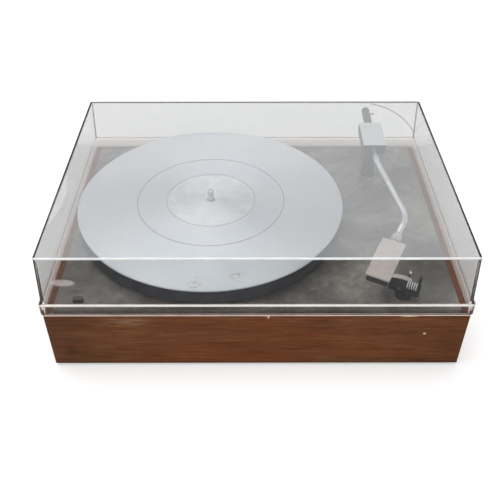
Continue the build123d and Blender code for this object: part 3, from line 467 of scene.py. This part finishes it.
plate_paint, tree, shader = new_finish("plate_paint", specular=0.3)
stains = cloud(tree, place(tree, location=(0.4, 0.1, 0.0)), 13.0, 7.0, 0.66, 0.5)
speckle = cloud(tree, place(tree), 1400.0, 2.0)
paint = colours(
    tree, stains, (0.36, tone(72, 69, 64)), (0.5, tone(106, 103, 97)), (0.64, tone(142, 139, 132)),
)
paint = mixed(tree, between(tree, speckle, 0.35, 0.75, 0.0, 0.12), paint, tone(140, 138, 133))
rust = cloud(tree, place(tree, location=(0.2, 0.7, 0.3)), 46.0, 6.0, 0.7, 0.8)
paint = mixed(tree, between(tree, rust, 0.56, 0.68, 0.0, 0.4), paint, tone(104, 80, 58))
grime = cloud(tree, place(tree, location=(0.9, 0.2, 0.1)), 30.0, 6.0, 0.65, 0.6)
paint = mixed(tree, between(tree, grime, 0.52, 0.68, 0.0, 0.5), paint, tone(54, 52, 50))
spots = cloud(tree, place(tree, location=(0.3, 0.6, 0.0)), 190.0, 6.0, 0.72)
paint = mixed(tree, between(tree, spots, 0.56, 0.70, 0.0, 0.4), paint, tone(164, 160, 151))
paint = mixed(tree, between(tree, spots, 0.42, 0.32, 0.0, 0.5), paint, tone(56, 53, 50))
scrapes = cloud(tree, place(tree, scale=(20.0, 420.0, 20.0), rotation=(0, 0, 0.7)), 1.0, 3.0, 0.6)
paint = mixed(tree, between(tree, scrapes, 0.66, 0.72, 0.0, 0.4), paint, tone(168, 164, 156))
colour_in(tree, shader, paint)
uneven(tree, shader, stains, 0.5, 0.64)
relief(tree, shader, cloud(tree, place(tree), 420.0, 2.0), 0.05, 0.0002)
give(plate_paint, "top_plate")


# Floating sub-chassis and its suspension.
# A pressed steel T-plate, with rubber sleeves in it, hangs on three springs round studs of the top plate.
# The steel is passivated, a little yellow, and the springs are bright wire.

passivated = plated("passivated_steel", tone(148, 138, 108), tone(186, 178, 148), 0.38, 300.0)
give(passivated, "subchassis")
give(zinc, "weld_studs", "stud_nuts")
give(black_rubber, "suspension_grommets")
spring_steel = plated("spring_steel", tone(120, 122, 126), tone(176, 178, 182), 0.26)

coil, given = shape_tree("wound_spring", "Wire Radius", "Coil Radius", "Turns", "Height")
values = {
    "Resolution": 28, "Rotations": given["Turns"], "Start Radius": given["Coil Radius"],
    "End Radius": given["Coil Radius"], "Height": given["Height"],
}
helix = add(coil, "GeometryNodeCurveSpiral", values).outputs["Curve"]
along = add(coil, "GeometryNodeSplineParameter").outputs["Factor"]
wave = maths(coil, "SINE", times(coil, along, 2 * math.pi))
close_ends = upright(coil, times(coil, times(coil, wave, -0.07), given["Height"]))
helix = add(coil, "GeometryNodeSetPosition", {"Geometry": helix, "Offset": close_ends}).outputs["Geometry"]
wire = add(coil, "GeometryNodeCurvePrimitiveCircle", {"Resolution": 10, "Radius": given["Wire Radius"]})
values = {"Curve": helix, "Profile Curve": wire.outputs["Curve"], "Fill Caps": True}
spring = add(coil, "GeometryNodeCurveToMesh", values).outputs["Mesh"]
values = {"Points": given["Geometry"], "Instance": spring}
shape_end(coil, add(coil, "GeometryNodeInstanceOnPoints", values).outputs["Instances"], given)

spring_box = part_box("suspension_springs")
spring_foot = spring_box[0].z
wire_radius = 0.0008
coil_radius = 0.0072
bar_length = math.hypot(bar_x, bar_y)
bar_x, bar_y = bar_x / bar_length, bar_y / bar_length
side_reach, past_pillar = 0.110, 0.028
reaches = ((0.0, side_reach), (0.0, -side_reach), (bar_length + past_pillar, 0.0))
spring_feet = [
    (spindle_x + f * bar_x - a * bar_y, spindle_y + f * bar_y + a * bar_x, spring_foot + wire_radius)
    for f, a in reaches
]
sizes = {
    "Wire Radius": wire_radius, "Coil Radius": coil_radius, "Turns": 6.0,
    "Height": spring_box[1].z - spring_foot - 2 * wire_radius, "Finish": spring_steel,
}
springs = grown("wound_springs", coil, sizes, spring_feet)
smoothed(springs, 50)
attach(springs, "plinth")
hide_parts("suspension_springs")
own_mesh(springs)


# Main bearing and spindle.
# A flanged brass tube with two pressed bronze bushes and a nylon thrust pad holds the ground steel shaft.
# The record pin on the shaft's upper end shows in the platter's centre.

brass = plated("turned_brass", tone(160, 124, 62), tone(206, 172, 104), 0.3)
give(brass, "bearing_housing")
bronze = plated("sintered_bronze", tone(138, 96, 58), tone(176, 132, 88), 0.45)
give(bronze, "bearing_bushes")
nylon, tree, shader = new_finish("nylon", roughness=0.5)
mottle = cloud(tree, place(tree), 300.0)
colour_in(tree, shader, colours(tree, mottle, (0.3, tone(208, 204, 190)), (0.7, tone(226, 222, 210))))
give(nylon, "thrust_pad")
ground_steel = plated("ground_steel", tone(168, 170, 172), tone(214, 215, 216), 0.2)
give(ground_steel, "spindle_shaft")


# Platters.
# The large platter is cast aluminium, faced on a lathe, with two fine rings in its face. Its side is
# painted dark to stand for the dark reflections it shows, with a painted shadow line at its foot.
# The smaller one under it is turned aluminium and carries the rubber belt.

platter_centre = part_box("outer_platter")
centre_x = (platter_centre[0].x + platter_centre[1].x) / 2
centre_y = (platter_centre[0].y + platter_centre[1].y) / 2


def from_spindle(tree):
    """The way from the spindle's axis in plan: its length and itself."""
    spot = place(tree, scale=(1, 1, 0), location=(-centre_x, -centre_y, 0))
    return length_of(tree, spot), spot


faced, tree, shader = new_finish("faced_aluminium", specular=0.2)
distance, spot = from_spindle(tree)
turning = cloud(tree, add(tree, "ShaderNodeCombineXYZ", {0: distance}).outputs["Vector"], 2600.0, 3.0, 0.6)
cloudy = cloud(tree, place(tree), 12.0, 5.0, 0.6)
face = colours(tree, cloudy, (0.3, tone(200, 206, 212)), (0.7, tone(216, 220, 224)))
face = mixed(tree, between(tree, turning, 0.3, 0.7, 0.0, 0.3), face, tone(168, 172, 177))
inside_ring = between(tree, distance, 0.0494, 0.0498, 1.0, 0.0)
residue = between(tree, cloud(tree, place(tree), 90.0, 6.0, 0.7, 0.4), 0.42, 0.62, 0.0, 0.5)
face = mixed(tree, times(tree, inside_ring, residue), face, tone(228, 230, 228))
for ring, dark in ((0.0500, 0.35), (0.0832, 0.6)):
    off_ring = maths(tree, "ABSOLUTE", maths(tree, "SUBTRACT", distance, ring))
    face = mixed(tree, between(tree, off_ring, 0.0003, 0.0008, dark, 0.0), face, tone(120, 118, 100))
dirt = cloud(tree, place(tree), 260.0, 5.0, 0.7, 0.5)
caked = between(tree, dirt, 0.5, 0.64, 0.0, 0.75)
dirty_places = (
    ((-0.061, -0.140, 0.103), (0.010, 0.014, 0.01)),
    ((-0.020, -0.126, 0.103), (0.012, 0.012, 0.01)),
)
for centre, reach in dirty_places:
    spots = times(tree, patch(tree, centre, reach, 0.9), caked)
    face = mixed(tree, spots, face, tone(122, 104, 84))
near_edge = between(tree, distance, 0.136, 0.149)
edge_dirt = times(tree, near_edge, between(tree, dirt, 0.55, 0.7, 0.0, 0.35))
face = mixed(tree, edge_dirt, face, tone(158, 156, 150))
height = along_axis(tree, "Z")
face_edge_z = (0.1019, 0.1024)
face_edge_reach = (0.1478, 0.1484)
below_face = between(tree, height, *face_edge_z, 1.0, 0.0)
side = times(tree, below_face, between(tree, distance, *face_edge_reach))
# Painted reflection: the dark side stands in for dark surroundings mirrored in the aluminium, and its pale
# mottle is dust and painted sheen.
dust_and_sheen = between(tree, cloud(tree, place(tree), 34.0, 6.0, 0.65, 0.5), 0.42, 0.64)
side_shade_colour = mixed(tree, dust_and_sheen, tone(27, 29, 36), tone(52, 54, 59))
# Painted shadow: a near-black line along the foot of the side, where the gap under the platter is in shade.
side_foot_shadow = between(tree, height, platter_centre[0].z + 0.0022, platter_centre[0].z + 0.0014)
side_shade_colour = mixed(tree, side_foot_shadow, side_shade_colour, tone(8, 8, 12))
face = mixed(tree, side, face, side_shade_colour)
colour_in(tree, shader, face)
uneven(tree, shader, turning, 0.36, 0.5)
tree.links.new(between(tree, side, 0.0, 1.0, 0.7, 0.2), shader.inputs["Metallic"])
on_side = add(tree, "ShaderNodeMix", {0: side, 4: spot, 5: (0.0, 0.0, 1.0)}, data_type="VECTOR").outputs[1]
settings = {"vector_type": "VECTOR", "convert_from": "OBJECT", "convert_to": "WORLD"}
across_cuts = add(tree, "ShaderNodeVectorTransform", {"Vector": on_side}, **settings).outputs["Vector"]
tree.links.new(across_cuts, shader.inputs["Tangent"])
shader.inputs["Anisotropic"].default_value = 0.7
give(faced, "outer_platter")

wheel_metal, tree, shader = new_finish("turned_wheel", metallic=0.9)
distance = from_spindle(tree)[0]
turning = cloud(tree, add(tree, "ShaderNodeCombineXYZ", {0: distance}).outputs["Vector"], 1800.0, 3.0)
colour_in(tree, shader, colours(tree, turning, (0.3, tone(150, 151, 153)), (0.7, tone(196, 197, 198))))
uneven(tree, shader, turning, 0.3, 0.45)
give(wheel_metal, "inner_platter")
give(black_rubber, "drive_belt")


# Motor.
# A drawn steel can in dark lacquer hangs under the plate on rubber spacers, with a coil round its rotor.
# Its shaft carries a crowned brass pulley up beside the inner platter.

def moulded(name, dark, pale, roughness):
    """Moulded plastic or lacquer: an even colour with slight clouding and a faint grain."""
    material, tree, shader = new_finish(name, roughness=roughness, specular=0.25)
    shade = cloud(tree, place(tree), 240.0, 4.0)
    colour_in(tree, shader, colours(tree, shade, (0.3, dark), (0.7, pale)))
    relief(tree, shader, cloud(tree, place(tree), 1500.0, 2.0), 0.1, 0.0002)
    return material


lacquer = moulded("dark_lacquer", tone(44, 46, 48), tone(60, 62, 64), 0.35)
give(lacquer, "motor_can")
copper = plated("copper_winding", tone(128, 66, 40), tone(176, 100, 62), 0.4, 900.0)
give(copper, "motor_coil")
rotor_steel = plated("rotor_steel", tone(96, 98, 102), tone(138, 140, 144), 0.4)
give(rotor_steel, "motor_rotor")
give(ground_steel, "motor_shaft")
give(bronze, "motor_bushes")
give(brass, "motor_pulley")
give(black_rubber, "motor_grommets")


# Power control.
# A rotary switch in black phenolic hangs under the plate. Its low black knob, with two flats, stands above.
# The knob's top is rubbed a little grey.

switch_black = moulded("switch_phenolic", tone(32, 30, 29), tone(46, 43, 41), 0.45)
give(switch_black, "power_switch")
knob_black, tree, shader = new_finish("knob_black", roughness=0.35)
rubbed_top = (0.0848, 0.0856)
rubbed = between(tree, along_axis(tree, "Z"), *rubbed_top)
worn = times(tree, rubbed, between(tree, cloud(tree, place(tree), 500.0), 0.3, 0.6, 0.4, 1.0))
colour_in(tree, shader, mixed(tree, worn, tone(16, 16, 16), tone(58, 57, 54)))
give(knob_black, "power_knob")


# Rear connections.
# A steel panel behind the rear board holds two nickel sockets and a brass ground post.
# A rubber gland is there for a mains cord, which would end at a pale moulded terminal block on the floor.

nickel = plated("nickel_plate", tone(178, 174, 164), tone(210, 206, 196), 0.22)
give(nickel, "phono_sockets")
give(passivated, "socket_panel")
give(brass, "ground_terminal")
give(black_rubber, "cord_gland")
block_plastic = moulded("terminal_plastic", tone(196, 188, 166), tone(214, 207, 188), 0.5)
give(block_plastic, "terminal_strip")


# Arm.
# A satin aluminium tube, S-bent, runs from a square pivot cover to a round collar and a flat headshell.
# It turns on a grey pillar. The cover is pale on top with a painted shade, a dark blue-grey, on its sides;
# the headshell is a little warm.

def satin(name, dark, pale, roughness, metallic=0.8):
    """Satin metal with a faint clouding."""
    material, tree, shader = new_finish(name, metallic=metallic)
    shade = cloud(tree, place(tree), 120.0, 3.0, 0.6)
    colour_in(tree, shader, colours(tree, shade, (0.3, dark), (0.7, pale)))
    uneven(tree, shader, shade, roughness - 0.05, roughness + 0.06)
    return material, tree, shader


pillar_grey = moulded("pillar_grey", tone(88, 87, 84), tone(102, 101, 98), 0.5)
give(pillar_grey, "arm_pillar", "arm_yoke")
give(zinc, "pillar_nut")
give(ground_steel, "pivot_shaft", "pivot_bearings", "tilt_pivot_pins")

cover_metal, tree, shader = new_finish("pivot_cover_metal", metallic=0.5)
blasted = cloud(tree, place(tree), 800.0, 3.0)
normal = add(tree, "ShaderNodeNewGeometry").outputs["Normal"]
facing = add(tree, "ShaderNodeSeparateXYZ", {"Vector": normal})
# Painted shade: faces that do not look up take a dark blue-grey, as if in shade.
lit_top_share = between(tree, facing.outputs["Z"], 0.4, 0.9)
pale_top = colours(tree, blasted, (0.3, tone(206, 209, 210)), (0.7, tone(218, 221, 222)))
colour_in(tree, shader, mixed(tree, lit_top_share, tone(92, 98, 108), pale_top))
uneven(tree, shader, blasted, 0.4, 0.52)
give(cover_metal, "pivot_cover")

tube_metal, tree, shader = new_finish("tube_metal", metallic=0.85)
drawn = cloud(tree, place(tree), 60.0, 3.0)
colour_in(tree, shader, colours(tree, drawn, (0.3, tone(204, 208, 211)), (0.7, tone(218, 221, 224))))
uneven(tree, shader, drawn, 0.22, 0.28)

bent, given = shape_tree("bent_tube", "Tube Radius")
line = add(bent, "GeometryNodeMeshToCurve", {"Mesh": given["Geometry"]}).outputs["Curve"]
values = {"Curve": line, "Count": 28, "Radius": marked(bent, "bend", "FLOAT")}
line = add(bent, "GeometryNodeFilletCurve", values, mode="POLY").outputs["Curve"]
rim = add(bent, "GeometryNodeCurvePrimitiveCircle", {"Resolution": 32, "Radius": given["Tube Radius"]})
values = {"Curve": line, "Profile Curve": rim.outputs["Curve"], "Fill Caps": False}
shape_end(bent, add(bent, "GeometryNodeCurveToMesh", values).outputs["Mesh"], given)

pivot = (0.1410, 0.0850, 0.1309)
hang = math.radians(4.3)


def tipped(x, y):
    """A point of the arm, drawn level, in the arm's rest attitude."""
    back = y - pivot[1]
    return (x, pivot[1] + back * math.cos(hang), pivot[2] + back * math.sin(hang))


head_turn = math.radians(26.5)
front_bend = (0.1594, -0.0576)


def along_head(reach):
    """A plan point on the headshell's line, measured from the tube's front bend."""
    return front_bend[0] - reach * math.sin(head_turn), front_bend[1] - reach * math.cos(head_turn)


tube_start = (0.1408, 0.0710)
rear_bend = (0.1408, 0.0392)
tube_end = along_head(0.0356)
tube_line = [tipped(x, y) for x, y in (tube_start, rear_bend, front_bend, tube_end)]
tube_joins = [(0, 1), (1, 2), (2, 3)]
bend_radii = [0.0, 0.055, 0.035, 0.0]
sizes = {"Tube Radius": 0.0033, "Finish": tube_metal}
tube = grown("bent_arm_tube", bent, sizes, tube_line, tube_joins, bend=bend_radii)
wall = tube.modifiers.new("wall", "SOLIDIFY")
wall.thickness = 0.0007
wall.offset = -1.0
smoothed(tube)
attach(tube, "arm")
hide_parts("arm_tube")

lathe, given = shape_tree("turned_piece")
line = add(lathe, "GeometryNodeMeshToCurve", {"Mesh": given["Geometry"]}).outputs["Curve"]
rim = add(lathe, "GeometryNodeCurvePrimitiveCircle", {"Resolution": 40, "Radius": 1.0})
girth = marked(lathe, "girth", "FLOAT")
values = {"Curve": line, "Profile Curve": rim.outputs["Curve"], "Scale": girth, "Fill Caps": True}
shape_end(lathe, add(lathe, "GeometryNodeCurveToMesh", values).outputs["Mesh"], given)

collar_metal = satin("collar_metal", tone(190, 194, 197), tone(210, 213, 215), 0.26)[0]
collar_cut = (
    (0.0298, 0.0036), (0.0300, 0.0042), (0.0308, 0.0046), (0.0340, 0.0049), (0.0342, 0.0053),
    (0.0346, 0.0056), (0.0364, 0.0056), (0.0366, 0.0053), (0.0370, 0.0053), (0.0372, 0.0056),
    (0.0390, 0.0056), (0.0392, 0.0053), (0.0396, 0.0053), (0.0398, 0.0056), (0.0412, 0.0056),
    (0.0417, 0.0051), (0.0418, 0.0042),
)
collar_line = [tipped(*along_head(reach)) for reach, _ in collar_cut]
collar_joins = [(i, i + 1) for i in range(len(collar_cut) - 1)]
girths = [girth for _, girth in collar_cut]
collar = grown("turned_collar", lathe, {"Finish": collar_metal}, collar_line, collar_joins, girth=girths)
smoothed(collar)
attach(collar, "arm")
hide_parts("headshell_collar")

head_metal, tree, shader = satin("headshell_metal", tone(186, 175, 169), tone(202, 192, 187), 0.42, 0.5)
scratched = cloud(tree, place(tree, scale=(60.0, 600.0, 60.0), rotation=(0, 0, 0.46)), 1.0, 3.0)
relief(tree, shader, scratched, 0.06, 0.0001)
give(head_metal, "headshell", "finger_lift")


# Cartridge and stylus.
# A black moulded pick-up body hangs under the headshell on two screws, with a grey stylus holder below.
# A fine aluminium cantilever carries the tip.

cartridge_black = moulded("cartridge_black", tone(26, 26, 27), tone(38, 38, 39), 0.38)
give(cartridge_black, "cartridge")
holder_plastic = moulded("holder_plastic", tone(70, 68, 64), tone(92, 90, 84), 0.35)
give(holder_plastic, "stylus_holder")
give(nickel, "cartridge_screws")
cantilever = plated("cantilever_metal", tone(170, 170, 172), tone(204, 204, 206), 0.25)
give(cantilever, "stylus")


# Counterweight.
# A dark grey cylinder with a domed end slides on the rear stub and is held by one small set screw.
# It is steel with a worn dark finish.

weight_grey = satin("counterweight_grey", tone(74, 76, 82), tone(100, 102, 108), 0.34, 0.6)[0]
give(weight_grey, "counterweight")
give(ground_steel, "rear_stub")
give(nickel, "counterweight_screw")


# Arm rest.
# A black moulded bar on a short stem, with a ribbed bright roller, a ball-headed pin and a black wire hook.
# Its metal pieces are chromed.

rest_black = moulded("rest_black", tone(14, 15, 15), tone(30, 31, 31), 0.36)
give(rest_black, "arm_rest_base", "arm_rest_clip")
chrome = plated("chrome", tone(186, 190, 194), tone(216, 220, 224), 0.16)
give(chrome, "arm_rest_pins")

roller_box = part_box("arm_rest_roller")
roller_middle = (roller_box[0] + roller_box[1]) / 2
roller_turn = math.radians(27.3)
turned_back = (
    roller_middle.x * math.cos(roller_turn) - roller_middle.y * math.sin(roller_turn),
    roller_middle.x * math.sin(roller_turn) + roller_middle.y * math.cos(roller_turn),
    roller_middle.z,
)
ribbed, tree, shader = new_finish("ribbed_roller", roughness=0.35, metallic=0.3)
from_middle = place(tree, location=tuple(-c for c in turned_back), rotation=(0, 0, roller_turn))
values = {0: from_middle, 1: (0.0, 1.0, 1.0)}
off_axle = add(tree, "ShaderNodeVectorMath", values, operation="MULTIPLY").outputs["Vector"]
on_rib = between(tree, length_of(tree, off_axle), 0.0035, 0.0038)
colour_in(tree, shader, mixed(tree, on_rib, tone(22, 24, 25), tone(196, 202, 206)))
give(ribbed, "arm_rest_roller")


# Dust cover.
# One moulding in clear acrylic with drafted walls on a thicker rim, which stands on the plinth's edge.
# Years of dusting left haze, wiping lines and a smear, and the rear wall has a hairline crack. Painted
# light is laid on it too: a painted reflection in the top's haze, painted highlights along the front top
# edge, the step and the foot, and painted shade on the rim and on the dark edges.

cover_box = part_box("dust_cover")
cover_foot = cover_box[0].z
cover_top = cover_box[1].z
rim_top = cover_foot + 0.0143
top_half_span = cover_box[1].x - 0.0054
wall_lean = 0.0537


def larger(tree, a, b):
    return maths(tree, "MAXIMUM", a, b)


def layered(tree, factor, under, over):
    """One shader over another by a factor."""
    return add(tree, "ShaderNodeMixShader", {0: factor, 1: under, 2: over}).outputs["Shader"]


acrylic, tree, shader = new_finish("clear_acrylic", roughness=0.02)
shader.inputs["Transmission Weight"].default_value = 1.0
shader.inputs["IOR"].default_value = 1.49
shader.inputs["Specular Tint"].default_value = (0.22, 0.22, 0.23, 1.0)
axes = add(tree, "ShaderNodeSeparateXYZ", {"Vector": place(tree)})
height = axes.outputs["Z"]

smoke = (0.735, 0.735, 0.73, 1.0)
# Painted shade: the rim is darker and browner than the walls, standing in for the shaded wood and
# surroundings seen through it.
in_rim = between(tree, height, rim_top - 0.0006, rim_top - 0.0001, 1.0, 0.0)
foot_painted_shade = (0.46, 0.45, 0.44, 1.0)
band_painted_shade = (0.54, 0.49, 0.43, 1.0)
step_smoke = (0.72, 0.71, 0.70, 1.0)
rim_smoke_and_shade = mixed(tree, between(tree, height, 0.081, 0.085), foot_painted_shade, band_painted_shade)
under_step = between(tree, height, rim_top - 0.0042, rim_top - 0.0022)
rim_smoke_and_shade = mixed(tree, under_step, rim_smoke_and_shade, step_smoke)
sheet = mixed(tree, in_rim, smoke, rim_smoke_and_shade)
outward = maths(tree, "ABSOLUTE", axes.outputs["X"])
lean = times(tree, maths(tree, "SUBTRACT", cover_top, height), wall_lean)
unleaned = maths(tree, "SUBTRACT", outward, lean)
at_side = between(tree, unleaned, top_half_span - 0.0028, top_half_span - 0.0020)
near_top = between(tree, height, cover_top - 0.0036, cover_top - 0.0028)
rear_wall = (0.1500, 0.1508)
front_wall = (-0.1490, -0.1500)
at_rear = between(tree, axes.outputs["Y"], *rear_wall)
at_front = between(tree, axes.outputs["Y"], *front_wall)
round_over = times(tree, near_top, larger(tree, at_side, times(tree, at_rear, 0.7)))
wall_corner = times(tree, at_side, larger(tree, at_front, at_rear))
wall_corner = times(tree, wall_corner, maths(tree, "SUBTRACT", 1.0, in_rim))
middle_y = (cover_box[0].y + cover_box[1].y) / 2
across = maths(tree, "ABSOLUTE", maths(tree, "SUBTRACT", axes.outputs["Y"], middle_y))
half_depth = (cover_box[1].y - cover_box[0].y) / 2
outer_x = between(tree, outward, cover_box[1].x - 0.0018, cover_box[1].x - 0.0013)
outer_y = between(tree, across, half_depth - 0.0018, half_depth - 0.0013)
rim_corner = times(tree, in_rim, times(tree, outer_x, outer_y))
corner = larger(tree, wall_corner, rim_corner)
shaded_edge = larger(tree, round_over, corner)
edge_dark = (0.03, 0.03, 0.035, 1.0)
colour_in(tree, shader, mixed(tree, times(tree, shaded_edge, 0.85), sheet, edge_dark))

# The top's whitish film is dust haze and painted reflection: it stands in for the veil of white
# surroundings mirrored in the top.
on_top = between(tree, height, cover_top - 0.0004, cover_top - 0.0001)
wiped = cloud(tree, place(tree, scale=(1.0, 1.5, 1.0), rotation=(0, 0, 0.5)), 6.0, 3.0, 0.5)
haze_and_glare = times(tree, on_top, between(tree, wiped, 0.3, 0.7, 0.185, 0.215))
for turn, shift in ((0.35, 0.2), (-0.8, 0.7)):
    turned = place(tree, location=(shift, 0.0, 0.0), rotation=(0, 0, turn))
    values = {"Vector": turned, "Scale": (3.0, 1400.0, 0.0)}
    drawn_out = add(tree, "ShaderNodeMapping", values).outputs["Vector"]
    wiping = between(tree, cloud(tree, drawn_out, 1.0, 1.0), 0.71, 0.79, 0.0, 0.12)
    haze_and_glare = maths(tree, "ADD", haze_and_glare, times(tree, wiping, on_top))
haze_and_glare = times(tree, haze_and_glare, maths(tree, "SUBTRACT", 1.0, shaded_edge))
smear = patch(tree, (-0.1862, -0.158, 0.1172), (0.0140, 0.02, 0.0047), 0.3)
haze_and_glare = larger(tree, haze_and_glare, times(tree, smear, 0.22))


def bright_edge_band(low, high, weight, least):
    """A band of painted highlight between two heights, broken up by noise down to its least share."""
    middle = (low + high) / 2
    off = maths(tree, "ABSOLUTE", maths(tree, "SUBTRACT", height, middle))
    band = between(tree, off, (high - low) / 2 - 0.0002, (high - low) / 2, weight, 0.0)
    band_breakup = cloud(tree, place(tree), 55.0, 5.0, 0.6)
    return times(tree, band, between(tree, band_breakup, 0.3, 0.7, least, 1.0))


# Painted highlights: pale lines along the front top edge, the step and the foot, where light runs along the
# acrylic's edges; the foot's line is painted pinkish.
front_face = (-0.1508, -0.1516)
in_front = between(tree, axes.outputs["Y"], *front_face)
front_top_highlight = bright_edge_band(cover_top - 0.0015, cover_top + 0.0005, 0.85, 0.8)
haze_and_glare = larger(tree, haze_and_glare, times(tree, front_top_highlight, in_front))
step_highlight = bright_edge_band(rim_top - 0.0015, rim_top + 0.0004, 0.9, 0.8)
step_highlight = times(tree, step_highlight, larger(tree, outer_x, outer_y))
haze_and_glare = larger(tree, haze_and_glare, step_highlight)
haze_and_glare = larger(tree, haze_and_glare, bright_edge_band(cover_foot - 0.0005, cover_foot + 0.0013, 0.9, 0.6))

foot_glow_mask = between(tree, height, cover_foot + 0.0014, cover_foot + 0.0024, 1.0, 0.0)
film_and_glare_colour = mixed(tree, on_top, tone(238, 236, 232), tone(249, 252, 255))
film_and_glare_colour = mixed(tree, foot_glow_mask, film_and_glare_colour, tone(240, 221, 213))
film_and_glare = add(tree, "ShaderNodeBsdfDiffuse", {"Color": film_and_glare_colour}).outputs["BSDF"]
# Painted shade: a dark diffuse sheet over the side edges, with the dark colour on the round-overs and
# corners above, where the acrylic's edges look dark.
dark = add(tree, "ShaderNodeBsdfDiffuse", {"Color": tone(44, 48, 56)}).outputs["BSDF"]
side_edge_shade = times(tree, times(tree, shaded_edge, at_side), 0.85)
dust_and_painted_light = layered(tree, haze_and_glare, layered(tree, side_edge_shade, shader.outputs["BSDF"], dark), film_and_glare)

crack_centre = (0.1315, 0.0523)
crack_radius = 0.0912
aside = maths(tree, "SUBTRACT", axes.outputs["X"], crack_centre[0])
aloft = maths(tree, "SUBTRACT", height, crack_centre[1])
squares = maths(tree, "ADD", times(tree, aside, aside), times(tree, aloft, aloft))
off_crack = maths(tree, "ABSOLUTE", maths(tree, "SUBTRACT", maths(tree, "SQRT", squares), crack_radius))
crack = between(tree, off_crack, 0.0003, 0.0007, 0.6, 0.0)
crack_start = (0.146, 0.152)
rear_face = (0.1495, 0.1502)
crack = times(tree, crack, between(tree, axes.outputs["X"], *crack_start))
crack = times(tree, crack, between(tree, axes.outputs["Y"], *rear_face))
shade = add(tree, "ShaderNodeBsdfDiffuse", {"Color": tone(60, 58, 56)}).outputs["BSDF"]
dust_and_painted_light = layered(tree, crack, dust_and_painted_light, shade)

path = add(tree, "ShaderNodeLightPath")
lets_by = larger(tree, path.outputs["Is Shadow Ray"], path.outputs["Is Diffuse Ray"])
open_way = add(tree, "ShaderNodeBsdfTransparent", {"Color": (0.94, 0.94, 0.94, 1.0)}).outputs["BSDF"]
clear = layered(tree, lets_by, dust_and_painted_light, open_way)
tree.links.new(clear, tree.nodes["Material Output"].inputs["Surface"])
give(acrylic, "dust_cover")


# Floor, light and camera.
# A pale sweep under soft studio light, with the camera where the photograph was taken from.
# The floor and the surroundings read as plain white to the camera, to metal and through the cover.

def white_to_eye(tree):
    """1 for rays that come straight to the camera or by way of metal or clear pieces."""
    path = add(tree, "ShaderNodeLightPath")
    seen = larger(tree, path.outputs["Is Camera Ray"], path.outputs["Is Glossy Ray"])
    return larger(tree, seen, path.outputs["Is Transmission Ray"])


bpy.ops.mesh.primitive_plane_add(size=12.0, location=(0, 0, 0))
floor = bpy.context.object
floor.name = "floor"
floor_white = bpy.data.materials.new("floor_white")
floor_white.use_nodes = True
tree = floor_white.node_tree
shader = tree.nodes["Principled BSDF"]
shader.inputs["Base Color"].default_value = (0.8, 0.8, 0.8, 1.0)
shader.inputs["Roughness"].default_value = 0.9
shader.inputs["Specular IOR Level"].default_value = 0.0
away = length_of(tree, place(tree))
lacking = between(tree, away, 0.3, 2.6, 0.32, 0.62)
lift = add(tree, "ShaderNodeEmission", {"Strength": times(tree, white_to_eye(tree), lacking)})
values = {0: shader.outputs["BSDF"], 1: lift.outputs["Emission"]}
lifted = add(tree, "ShaderNodeAddShader", values).outputs["Shader"]
tree.links.new(lifted, tree.nodes["Material Output"].inputs["Surface"])
floor.data.materials.append(floor_white)

scene = bpy.context.scene
scene.world = scene.world or bpy.data.worlds.new("studio")
scene.world.use_nodes = True
tree = scene.world.node_tree
surroundings = tree.nodes["Background"]
surroundings.inputs["Color"].default_value = (1.0, 1.0, 1.0, 1.0)
strength = between(tree, white_to_eye(tree), 0.0, 1.0, 0.50, 1.0)
tree.links.new(strength, surroundings.inputs["Strength"])


def softbox(name, location, target, size, power):
    """A round area lamp at a place, aimed at a target."""
    lamp = bpy.data.lights.new(name, "AREA")
    lamp.shape = "DISK"
    lamp.size = size
    lamp.energy = power
    holder = bpy.data.objects.new(name, lamp)
    scene.collection.objects.link(holder)
    holder.location = location
    aim = [t - p for t, p in zip(target, location)]
    flat = math.hypot(aim[0], aim[1])
    holder.rotation_euler = (math.atan2(flat, -aim[2]), 0, math.atan2(aim[1], aim[0]) - math.pi / 2)
    return holder


softbox("overhead", (-0.35, 0.15, 1.6), (0, 0, 0.08), 2.3, 22.0)
front_fill = softbox("front_fill", (0.5, -1.5, 0.9), (0, 0, 0.05), 1.0, 7.0)
front_fill.visible_glossy = False
front_fill.visible_transmission = False

camera_data = bpy.data.cameras.new("camera")
camera_data.sensor_width = 36.0
camera_data.lens = 48.456
camera = bpy.data.objects.new("camera", camera_data)
scene.collection.objects.link(camera)
camera.location = (-0.007708, -0.624142, 0.556190)
camera.rotation_euler = (math.radians(90 - 40.252), 0, math.radians(-0.104))
scene.camera = camera
scene.view_settings.view_transform = "Standard"
